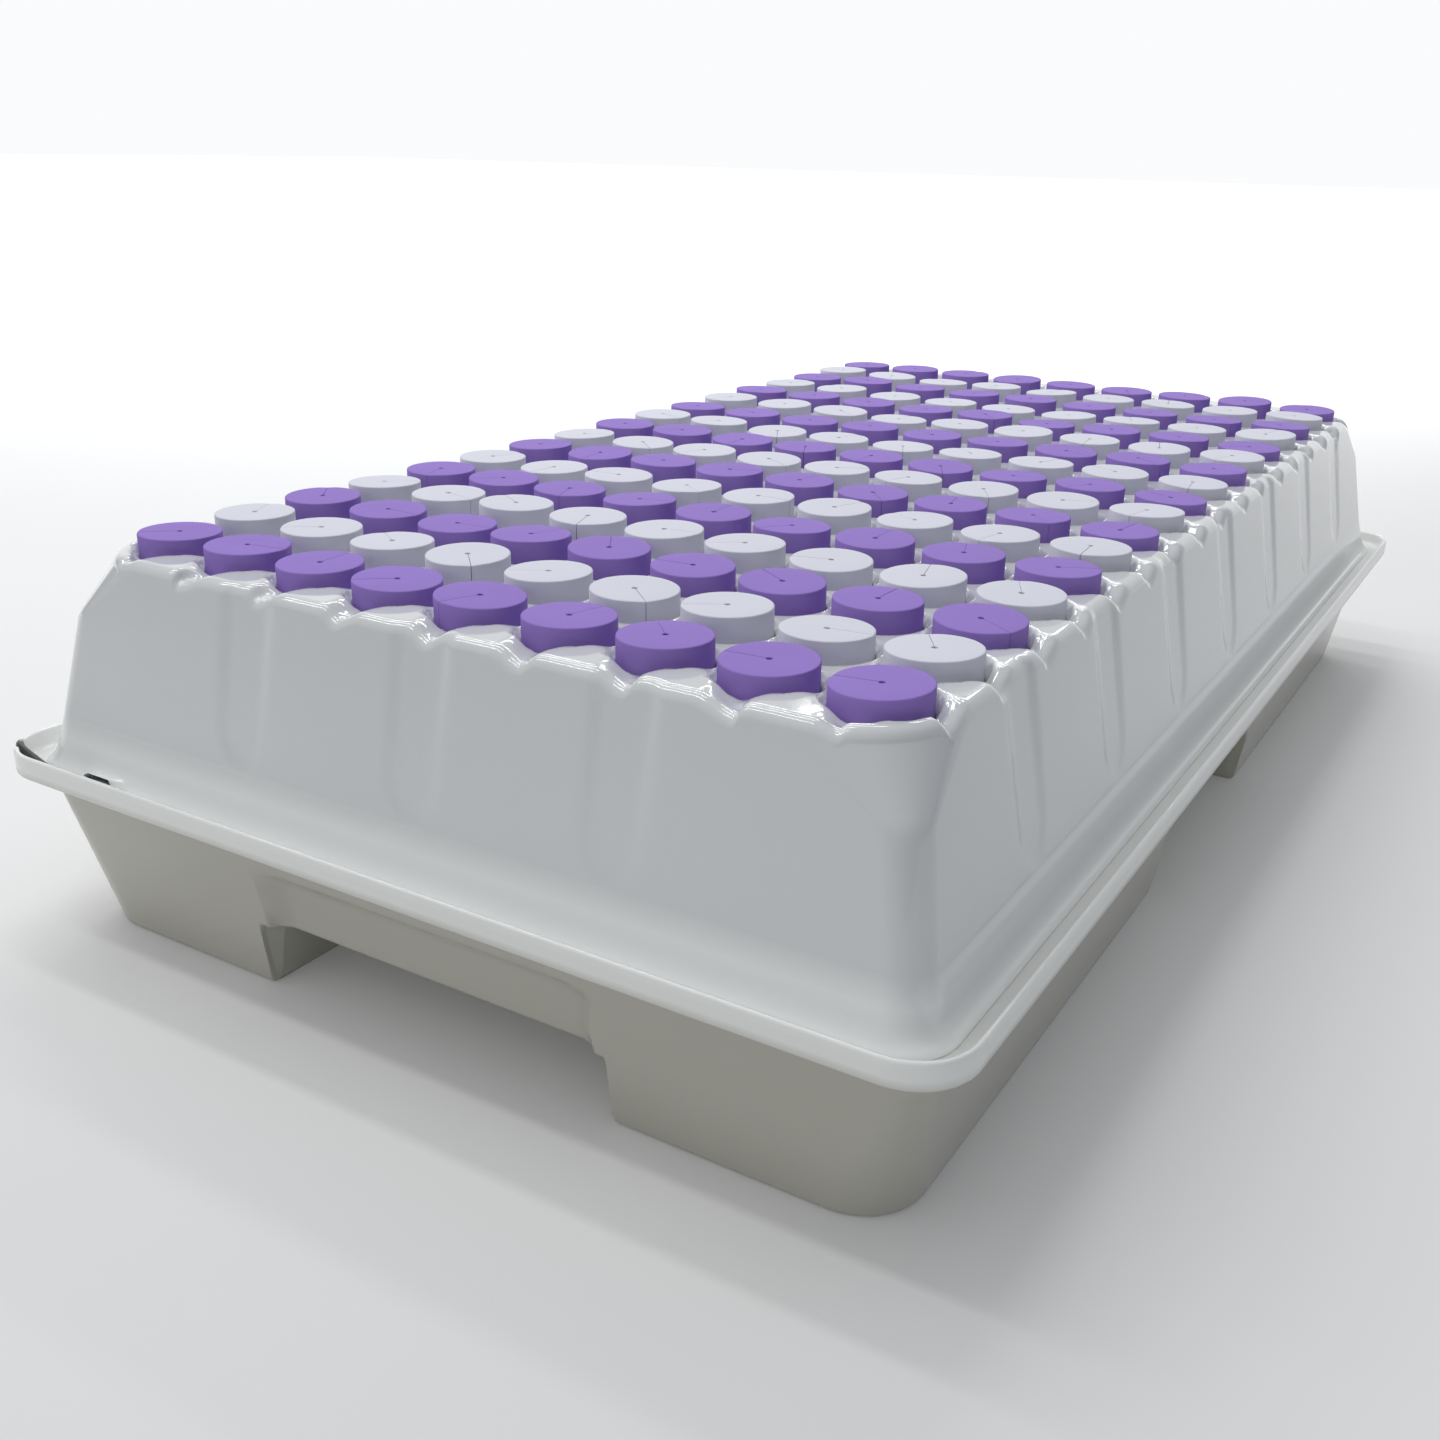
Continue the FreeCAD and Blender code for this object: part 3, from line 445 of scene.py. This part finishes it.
def cell_loop(x0, x1, y0, y1):
    """Points round a cell, anticlockwise from its corner at x1, y0."""
    t = np.arange(SIDE_STEPS) / SIDE_STEPS
    right = np.stack([np.full_like(t, x1), y0 + (y1 - y0) * t], 1)
    back = np.stack([x1 + (x0 - x1) * t, np.full_like(t, y1)], 1)
    left = np.stack([np.full_like(t, x0), y1 + (y0 - y1) * t], 1)
    front = np.stack([x0 + (x1 - x0) * t, np.full_like(t, y0)], 1)
    return np.concatenate([right, back, left, front])


def over_tunnel(ring, half_width):
    """1 on the points of a ring over the cord's tunnel through the flange, fading to 0 beside it."""
    way = np.array(CORD_ROUTE[1][:2]) - np.array(CORD_EXIT[:2])
    way /= np.linalg.norm(way)
    off = ring[:, :2] - np.array(CORD_EXIT[:2])
    across = np.abs(off[:, 0] * way[1] - off[:, 1] * way[0])
    inside = 1 - smooth((across - half_width) / TUNNEL_SIDE + 0.25)
    return inside * (off @ way > -TUNNEL_REACH)


def key_of(xy):
    """A point's place to a thousandth of a millimetre, by which neighbouring cells share it."""
    return (round(float(xy[0]), 3), round(float(xy[1]), 3))


def lid_perimeter():
    """The deck's outline, cell side by cell side, anticlockwise from the corner at +x, -y."""
    t = np.arange(SIDE_STEPS) / SIDE_STEPS
    points = []
    for row in range(ROWS):
        _, _, y0, y1 = lid_cell_bounds(0, row)
        points += [(DECK_A, y) for y in y0 + (y1 - y0) * t]
    for column in reversed(range(COLUMNS)):
        x0, x1, _, _ = lid_cell_bounds(column, 0)
        points += [(x, DECK_B) for x in x1 + (x0 - x1) * t]
    for row in reversed(range(ROWS)):
        _, _, y0, y1 = lid_cell_bounds(0, row)
        points += [(-DECK_A, y) for y in y1 + (y0 - y1) * t]
    for column in range(COLUMNS):
        x0, x1, _, _ = lid_cell_bounds(column, 0)
        points += [(x, -DECK_B) for x in x0 + (x1 - x0) * t]
    return np.array(points)


def lid_walls(skin, outline):
    """The lid from its deck's edge down to the flange and up inside; gives its top and inner edges."""
    edge_z = deck_height(outline.ring(DECK_A, DECK_B, DECK_R, 0.0)[:, :2])
    level = smooth((np.minimum(outline.u, outline.v) - CORNER_FROM) / CORNER_BAND) * outline.corner
    edge_z = edge_z + (DECK_Z - CORNER_DROP - edge_z) * level
    reach_a, reach_b = LID_FLANGE_A - LID_BASE_A, LID_FLANGE_B - LID_BASE_B

    def wall_ring(z, inset=0.0):
        opened = np.clip((z - CORNER_Z) / (DECK_Z - EDGE_DOWN - CORNER_Z), 0, 1)
        r = LID_BASE_R + (LID_TOP_R - LID_BASE_R) * opened - inset
        ring = outline.ring(wall_at(LID_BASE_A, z) - inset, wall_at(LID_BASE_B, z) - inset, r, z)
        return outline.pushed(ring, -flute_depth(outline, ring))

    def flange_ring(share, z, r, half_width, roof):
        """A ring of the cove or flange, raised over the cord's tunnel."""
        ring = outline.ring(LID_BASE_A + reach_a * share, LID_BASE_B + reach_b * share, r, z)
        ring[:, 2] = np.maximum(ring[:, 2], FLANGE_Z + roof * over_tunnel(ring, half_width))
        return ring

    tangent_z = edge_z - EDGE_DOWN
    tangent = wall_ring(tangent_z)
    rows = []
    for share in EDGE_SHARES:
        turn = LEAN * share
        ring = outline.pushed(tangent, -(EDGE_IN - EDGE_R * math.sin(turn)))
        ring[:, 2] = edge_z - EDGE_R * (1 - math.cos(turn))
        rows.append(skin.points(ring))
    rows.append(skin.points(tangent))
    for share in 0.5 - 0.5 * np.cos(math.pi * np.arange(1, WALL_ROWS + 1) / WALL_ROWS):
        rows.append(skin.points(wall_ring(tangent_z + (LID_BASE_Z - tangent_z) * share)))
    for share, z in COVE:
        r = LID_BASE_R + (LID_FLANGE_R - LID_BASE_R) * share
        ring = flange_ring(share, z, r, TUNNEL_HALF_W + TUNNEL_WALL, TUNNEL_H + TUNNEL_ROOF)
        rows.append(skin.points(ring))
    for share, z in COVE_INSIDE:
        rows.append(skin.points(flange_ring(share, z, LID_BASE_R, TUNNEL_HALF_W, TUNNEL_H)))
    for share in INSIDE_SHARES:
        rows.append(skin.points(wall_ring(LID_BASE_Z + (UNDER_Z - LID_BASE_Z) * share, WALL)))
    skin.rings(rows[::-1])
    return rows[0], rows[-1]


EASE = 0.6                                  # how much a socket's edges are rounded off
CUP = [(CUP_R, POCKET_Z - EASE), (CUP_R, LEDGE_Z + 1), (CUP_R - EASE, LEDGE_Z), (LEDGE_R + 0.5, LEDGE_Z),
       (LEDGE_R, LEDGE_Z - EASE), (LEDGE_R, CUP_Z0), (CUP_WALL_R - EASE, CUP_Z0),
       (CUP_WALL_R, CUP_Z0 + 0.8), (CUP_WALL_R, UNDER_Z)]       # a socket's section, from the recess down
CUP_MOUTH_R = CUP_R + 0.4
BLEND_FROM = 0.4                # where the height of a cell's sides starts to be blended in


def lid_deck(skin, outline, deck_edge, under_edge):
    """The deck's cells, each with its socket; neighbouring cells share the points between them."""
    top_of = {key_of(p): i for p, i in zip(outline.xy, deck_edge)}
    under_of = {key_of(p): i for p, i in zip(outline.xy, under_edge)}
    so_far = np.concatenate(skin.blocks)
    placed = {i: so_far[i] for i in deck_edge}
    for column in range(COLUMNS):
        for row in range(ROWS):
            middle = np.array([column_x(column), row_y(row)])
            square = cell_loop(*lid_cell_bounds(column, row))
            for p in square:
                key = key_of(p)
                if key not in top_of:
                    z = deck_height(p[None])[0]
                    top_of[key] = skin.points([[p[0], p[1], z]])[0]
                    under_of[key] = skin.points([[p[0], p[1], UNDER_Z]])[0]
                    placed[top_of[key]] = np.array([p[0], p[1], z])
            top = np.array([top_of[key_of(p)] for p in square])
            below = np.array([under_of[key_of(p)] for p in square])
            reach = np.array([placed[i] for i in top])
            away = square - middle
            away /= np.linalg.norm(away, axis=1)[:, None]
            rows = []
            for share in CELL_SHARES:
                xy = (middle + away * CUP_MOUTH_R) * (1 - share) + reach[:, :2] * share
                blend = smooth((share - BLEND_FROM) / (1 - BLEND_FROM))
                z = deck_height(xy) + (reach[:, 2] - deck_height(reach[:, :2])) * blend
                rows.append(skin.points(np.column_stack([xy, z])))
            down = [skin.points(np.column_stack([middle + away * r, np.full(len(away), z)])) for r, z in CUP]
            skin.rings([below] + down[::-1] + rows + [top])


def make_lid():
    skin = Skin()
    outline = Outline(lid_perimeter(), DECK_A, DECK_B, DECK_R)
    deck_edge, under_edge = lid_walls(skin, outline)
    lid_deck(skin, outline, deck_edge, under_edge)
    obj = skin.make("lid_skin", lid_mat, sharp=55.0)
    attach(obj, "lid")
    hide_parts("lid_shell")


make_lid()


# ---------------------------------------------------------------- foam collars
COLLAR_STEPS = 56                           # mesh steps from one face of the slit round to the other
HOLE_R = 1.8
SLIT_CURL, SLIT_CURL_SHARE = 0.35, 1 / 40   # how far the top sinks beside the slit, and over what share
LOOSE = 8.0                                 # the foot of a collar, up to this height, doesn't sink
SLIT_GAPS = 0.2, 0.45
TILT, SINK, SPREAD, SMALLER = 0.018, -0.7, 0.7, 0.3     # how unevenly the collars are cut and pushed in


def collar_section(low, high, radius):
    """The section of a collar on one side of its hole, from the hole's foot up, over and down outside."""
    return [(HOLE_R, low), (HOLE_R - 0.2, high - 0.4), (HOLE_R + 0.1, high - 0.05), (8.0, high),
            (16.0, high), (radius - 1.2, high), (radius - 0.5, high - 0.08), (radius - 0.15, high - 0.3),
            (radius, high - 0.7), (radius, high - 7.0), (radius, low + 6.0), (radius, low + 0.8),
            (radius - 0.8, low), (12.0, low)]


def add_collar(skin, x, y, slit_turn, gap, tilt, lift, radius):
    """One split foam disc: its section swept from one face of the slit round to the other."""
    low, high = LEDGE_Z + 0.05, COLLAR_TOP
    section = collar_section(low, high, radius)
    rows = []
    for share in np.linspace(0, 1, COLLAR_STEPS + 1):
        near_slit = math.exp(-(min(share, 1 - share) / SLIT_CURL_SHARE) ** 2)
        ring = []
        for r, z in section:
            half = math.asin(min(0.9, gap / 2 / r))
            angle = slit_turn + half + (2 * math.pi - 2 * half) * share
            px, py = r * math.cos(angle), r * math.sin(angle)
            curl = SLIT_CURL * near_slit * r / radius if z > low + LOOSE else 0.0
            slope = px * tilt[0] + py * tilt[1]
            ring.append((x + px, y + py, z + (slope + lift - curl) * (z - low) / (high - low)))
        rows.append(skin.points(ring))
    skin.rings(rows)
    # the two faces of the slit, closed by quads between the two sides of the section
    for face in (rows[0][::-1], rows[-1]):
        for k in range(len(face) // 2 - 1):
            skin.faces.append(np.array([[face[k], face[k + 1], face[-2 - k], face[-1 - k]]]))


# degrees from +x in which the slits of some collars near the front point, by row and column from 1
SLITS = {(1, 2): 14, (1, 5): -110, (1, 6): 80, (2, 7): -150, (2, 9): 121, (3, 9): -31, (4, 8): 104,
         (4, 6): -149}


def make_collars():
    for row in range(ROWS):
        color, mat = ("purple_foam", purple_mat) if row % 2 == 0 else ("white_foam", white_mat)
        skin, single = Skin(), Skin()
        for column in range(COLUMNS):
            lone = row == 0 and column == COLUMNS - 1
            turn = rng.uniform(0, 2 * math.pi)
            if (row + 1, column + 1) in SLITS:
                turn = math.radians(SLITS[row + 1, column + 1])
            gap, tilt, lift = rng.uniform(*SLIT_GAPS), rng.normal(0, TILT, 2), rng.normal(SINK, SPREAD)
            radius = COLLAR_R - rng.uniform(0, SMALLER)
            add_collar(single if lone else skin, column_x(column), row_y(row), turn, gap, tilt, lift, radius)
        name = "collar_row_%02d" % (row + 1)
        obj = skin.make(name + "_foam", mat)
        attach(obj, "lid")
        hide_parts(name)
        if row == 0:
            obj = single.make("collar_front_right_foam", mat)
            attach(obj, "front_collar")
            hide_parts("collar_front_right")


make_collars()


# ---------------------------------------------------------------- reservoir
FINE_STEP, COARSE_STEP, FINE_REACH = 1.5, 9.0, 12.0     # mesh steps of the floor, near and off its edges


def graded(half, marks):
    """Positions from -half to half, closer together near the marks."""
    t, out = 0.0, [0.0]
    while t < half:
        near = min(abs(t - m) for m in marks)
        t += FINE_STEP if near < FINE_REACH else COARSE_STEP
        out.append(min(t, half))
    if out[-1] - out[-2] < FINE_STEP / 2:
        out.pop(-2)
    right = np.array(out)
    return np.concatenate([-right[::-1], right[1:]])


FOOT_LEAN = math.atan2(1.0, (BODY_A - FOOT_A) / RIM_Z0)
FOOT_IN, FOOT_UP = FOOT_EDGE_R * math.sin(FOOT_LEAN), FOOT_EDGE_R * (1 - math.cos(FOOT_LEAN))
FOOT_SHARES = [0.0, 0.2, 0.4, 0.6, 0.8, 1.0]            # round the edge of a foot
BODY_SHARES = [0.06, 0.13, 0.2, 0.28, 0.36, 0.44, 0.52, 0.6, 0.66, 0.71, 0.76, 0.81, 0.86, 0.91, 0.96, 1.0]
HOLLOW_SHARES = [1.0, 0.9, 0.8, 0.7, 0.6, 0.5, 0.4, 0.3, 0.2, 0.1, 0.04]        # down the inside
# the rim's section, as distances in or out from its outside, and heights: the fillet under it, then
# the lip, the gutter and over into the inside
RIM_SECTION = [(GUTTER_IN + 0.5, RIM_Z0 - 2.2), (GUTTER_IN + 1.6, RIM_Z0 - 0.7), (GUTTER_IN + 3.6, RIM_Z0),
               (-8.0, RIM_Z0), (-1.6, RIM_Z0), (-0.5, RIM_Z0 + 0.4), (0.0, RIM_Z0 + 1.5),
               (0.0, RIM_Z0 + 6.0), (0.0, LIP_Z - 5.0), (0.0, LIP_Z - 1.6), (-0.5, LIP_Z - 0.4),
               (-LIP_T / 2, LIP_Z), (-LIP_T + 0.5, LIP_Z - 0.4), (-LIP_T, LIP_Z - 1.6),
               (-LIP_T, LIP_Z - 6.0), (-LIP_T - 0.8, FLANGE_Z + 3.0), (-LIP_T - 2.4, FLANGE_Z + 1.2),
               (-LIP_T - 4.6, FLANGE_Z + 0.3), (-14.0, FLANGE_Z), (GUTTER_IN - 0.4, FLANGE_Z - 0.1),
               (GUTTER_IN - 2.4, FLANGE_Z - 1.0), (GUTTER_IN - 3.2, FLANGE_Z - 3.0)]
CONCENTRIC, RADIUS_BAND = 10.0, 11.0    # how far in the corners keep the rim's centre, and then change


def body_half(foot, body, z):
    """Half the body's size at a height, between that at its feet and that under the rim."""
    return foot + (body - foot) * z / RIM_Z0


def belly(xy, grow=0.0):
    """Height of the underside: feet at the corners, belly over the crossing channels."""
    middle, run = (CHANNEL_LOW + CHANNEL_HIGH) / 2 + grow, CHANNEL_LOW - CHANNEL_HIGH + CHANNEL_SIDE
    across = smooth((middle + np.array([CHANNEL_EXTRA, 0.0]) + run / 2 - np.abs(xy)) / run)
    return BELLY_Z * (1 - (1 - across[:, 0]) * (1 - across[:, 1]))


def make_reservoir():
    skin = Skin()
    base_a = body_half(FOOT_A, BODY_A, FOOT_UP) - FOOT_IN
    base_b = body_half(FOOT_B, BODY_B, FOOT_UP) - FOOT_IN
    base_r = FOOT_R - FOOT_IN
    xs = graded(base_a, (CHANNEL_HIGH + CHANNEL_EXTRA, base_a))
    ys = graded(base_b, (CHANNEL_HIGH, base_b))
    nx, ny = len(xs), len(ys)
    edge = [(nx - 1, j) for j in range(ny)] + [(i, ny - 1) for i in range(nx - 2, -1, -1)]
    edge += [(0, j) for j in range(ny - 2, -1, -1)] + [(i, 0) for i in range(1, nx - 1)]
    rim_xy = np.array([(xs[i], ys[j]) for i, j in edge])
    outline = Outline(rim_xy, base_a, base_b, base_r)
    grid_xy = np.array([(x, y) for x in xs for y in ys])

    def floor_grid(edge_ring, grow, lift, up):
        """The floor inside a ring of points already placed."""
        round_xy = squared_to_round(grid_xy, base_a, base_b, base_r)
        z = lift + belly(round_xy, grow)
        index = skin.points(np.column_stack([round_xy, z])).reshape(nx, ny)
        for (i, j), k in zip(edge, edge_ring):
            index[i, j] = k
        a, b, c, d = index[:-1, :-1], index[1:, :-1], index[1:, 1:], index[:-1, 1:]
        quad = np.stack([a, b, c, d] if up else [a, d, c, b], -1).reshape(-1, 4)
        skin.faces.append(quad)

    def wall_ring(z, inset=0.0):
        r = FOOT_R + (BODY_R - FOOT_R) * z / RIM_Z0 - inset
        ring = outline.ring(body_half(FOOT_A, BODY_A, z) - inset, body_half(FOOT_B, BODY_B, z) - inset, r, z)
        along = np.where(outline.on_x, ring[:, 1], ring[:, 0])
        half = CHANNEL_LOW + (CHANNEL_HIGH - CHANNEL_LOW) * z / BELLY_Z + RECESS_WIDER + inset
        half = half + np.where(outline.on_x, 0.0, CHANNEL_EXTRA)
        beside = smooth((half - np.abs(along)) / RECESS_SIDE)
        set_back = beside * smooth((RECESS_Z + inset - z) / RECESS_FADE)
        return outline.pushed(ring, -RECESS_DEPTH * set_back * ~outline.corner)

    foot_xy = outline.ring(base_a, base_b, base_r, 0.0)[:, :2]
    low_z = belly(foot_xy)
    tangent = wall_ring(low_z + FOOT_UP)
    rows = []
    for share in FOOT_SHARES:
        turn = FOOT_LEAN * share
        ring = outline.pushed(tangent, -(FOOT_IN - FOOT_EDGE_R * math.sin(turn)))
        ring[:, 2] = low_z + FOOT_EDGE_R * (1 - math.cos(turn))
        rows.append(skin.points(ring))
    floor_grid(rows[0], 0.0, 0.0, False)
    for share in BODY_SHARES:
        height = RIM_Z0 - FILLET_DROP - low_z - FOOT_UP
        rows.append(skin.points(wall_ring(low_z + FOOT_UP + height * share)))
    rim = outline.ring(RIM_A, RIM_B, RIM_R, 0.0)
    from_notch = np.hypot(rim[:, 0] - NOTCH[0], rim[:, 1] - NOTCH[1])
    notch = NOTCH_DEPTH * (1 - smooth((from_notch - NOTCH_HALF_W) / NOTCH_SIDE))
    notch_z = LIP_Z - NOTCH_DEPTH
    for out, z in RIM_SECTION:
        # inside the concentric part the radius changes to that of the body's inside
        inner_share = min(1.0, (-CONCENTRIC - out) / RADIUS_BAND)
        inner_r = RIM_R - CONCENTRIC + (BODY_R - WALL - RIM_R + CONCENTRIC) * inner_share
        r = RIM_R + out if out > -CONCENTRIC else inner_r
        height = np.maximum(z - notch, notch_z - 0.5) if z > notch_z else z
        rows.append(skin.points(outline.ring(RIM_A + out, RIM_B + out, r, height)))
    inner_z = WALL + belly(foot_xy, WALL)
    fillet_z = inner_z + FLOOR_FILLET
    for share in HOLLOW_SHARES:
        rows.append(skin.points(wall_ring(fillet_z + (RIM_Z0 - WALL - fillet_z) * share, WALL)))
    foot = wall_ring(fillet_z, WALL)
    for inward, up in ((0.6, 3.0), (2.0, 1.2), (5.0, 0.1)):
        ring = outline.pushed(foot, -inward)
        ring[:, 2] = inner_z + up
        rows.append(skin.points(ring))
    skin.rings(rows)
    floor_grid(rows[-1], WALL, WALL, True)
    obj = skin.make("reservoir_skin", reservoir_mat, sharp=60.0)
    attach(obj, "reservoir")
    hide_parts("reservoir_tray")


make_reservoir()


# ---------------------------------------------------------------- floor and lights
BEHIND = (-0.50, 0.86, 0.0)     # the direction beyond the tray, as the camera sees it
GLOWS = [                       # direction, where the glow starts and is full (as a cosine), colour
    ((0.0, 0.0, 1.0), 0.45, 1.0, (0.37, 0.385, 0.40)),
    ((-0.20, -0.66, 0.72), 0.10, 0.95, (0.46, 0.46, 0.45)),
    (BEHIND, 0.55, 0.85, (0.88, 0.88, 0.88)),
    ((0.45, 0.89, 0.0), 0.85, 0.98, (0.55, 0.57, 0.60)),
    ((-0.33, 0.76, 0.56), 0.86, 0.98, (-0.42, -0.42, -0.42)),
    ((0.95, -0.30, 0.0), 0.20, 0.90, (-0.04, -0.03, -0.01)),
]
GLOW_EVERYWHERE = (0.085, 0.09, 0.10)
FLOOR_HALF, FLOOR_GRAY = 30.0, 0.72
FLOOR_GLOW = {"From Min": 0.6, "From Max": 3.6, "To Min": 0.06, "To Max": 0.62}     # over metres behind
PANELS, PANEL_GAP, PANEL_SIZE, PANEL_WATTS = 7, 1.05, (2.8, 0.18), 17.0
PANEL_X, FIRST_PANEL_Y, PANEL_Z = -1.5, -0.9, 2.8


def make_world():
    """Soft light all round, brightest low behind the tray and dimmed on its right."""
    world = bpy.data.worlds.new("studio")
    world.use_nodes = True
    nodes, links = world.node_tree.nodes, world.node_tree.links
    where = nodes.new("ShaderNodeTexCoord")
    before = None
    for way, start, full, color in GLOWS:
        facing = nodes.new("ShaderNodeVectorMath")
        facing.operation = "DOT_PRODUCT"
        facing.inputs[1].default_value = way
        links.new(where.outputs["Generated"], facing.inputs[0])
        fade = nodes.new("ShaderNodeMapRange")
        fade.interpolation_type = "SMOOTHSTEP"
        fade.inputs["From Min"].default_value = start
        fade.inputs["From Max"].default_value = full
        links.new(facing.outputs["Value"], fade.inputs["Value"])
        add = nodes.new("ShaderNodeVectorMath")
        add.operation = "MULTIPLY_ADD"
        add.inputs[1].default_value = color
        add.inputs[2].default_value = GLOW_EVERYWHERE
        links.new(fade.outputs["Result"], add.inputs[0])
        if before:
            links.new(before.outputs["Vector"], add.inputs[2])
        before = add
    links.new(before.outputs["Vector"], nodes["Background"].inputs["Color"])
    bpy.context.scene.world = world


def make_floor():
    """Pale paper, which glows a little more the further it lies behind the tray."""
    mesh = bpy.data.meshes.new("floor")
    size = FLOOR_HALF
    mesh.from_pydata([(-size, -size, 0), (size, -size, 0), (size, size, 0), (-size, size, 0)], [],
                     [(0, 1, 2, 3)])
    floor = bpy.data.objects.new("floor", mesh)
    bpy.context.scene.collection.objects.link(floor)
    mat = material("floor_paper", (FLOOR_GRAY,) * 3, rough=0.9, vary=0.0, grain=0.0, bump_mm=0.0)
    nodes, links = mat.node_tree.nodes, mat.node_tree.links
    where = nodes.new("ShaderNodeTexCoord")
    away = nodes.new("ShaderNodeVectorMath")
    away.operation = "DOT_PRODUCT"
    away.inputs[1].default_value = BEHIND
    links.new(where.outputs["Object"], away.inputs[0])
    glow = nodes.new("ShaderNodeMapRange")
    glow.interpolation_type = "SMOOTHSTEP"
    for socket, value in FLOOR_GLOW.items():
        glow.inputs[socket].default_value = value
    links.new(away.outputs["Value"], glow.inputs["Value"])
    links.new(glow.outputs["Result"], nodes["Principled BSDF"].inputs["Emission Strength"])
    nodes["Principled BSDF"].inputs["Emission Color"].default_value = (1.0, 1.0, 1.0, 1.0)
    mesh.materials.append(mat)


def make_panels():
    """Long narrow lamps, in a row from above the tray's left to far behind it, that glint in the lid."""
    for index in range(PANELS):
        data = bpy.data.lights.new("panel_%d" % index, "AREA")
        data.shape = "RECTANGLE"
        data.size, data.size_y = PANEL_SIZE
        data.energy = PANEL_WATTS
        panel = bpy.data.objects.new("panel_%d" % index, data)
        bpy.context.scene.collection.objects.link(panel)
        panel.location = (PANEL_X, FIRST_PANEL_Y + PANEL_GAP * index, PANEL_Z)
        panel.rotation_euler = Vector((0.0, 0.0, -1.0)).to_track_quat("-Z", "Y").to_euler()


make_world()
make_floor()
make_panels()
bpy.context.scene.view_settings.view_transform = "Standard"
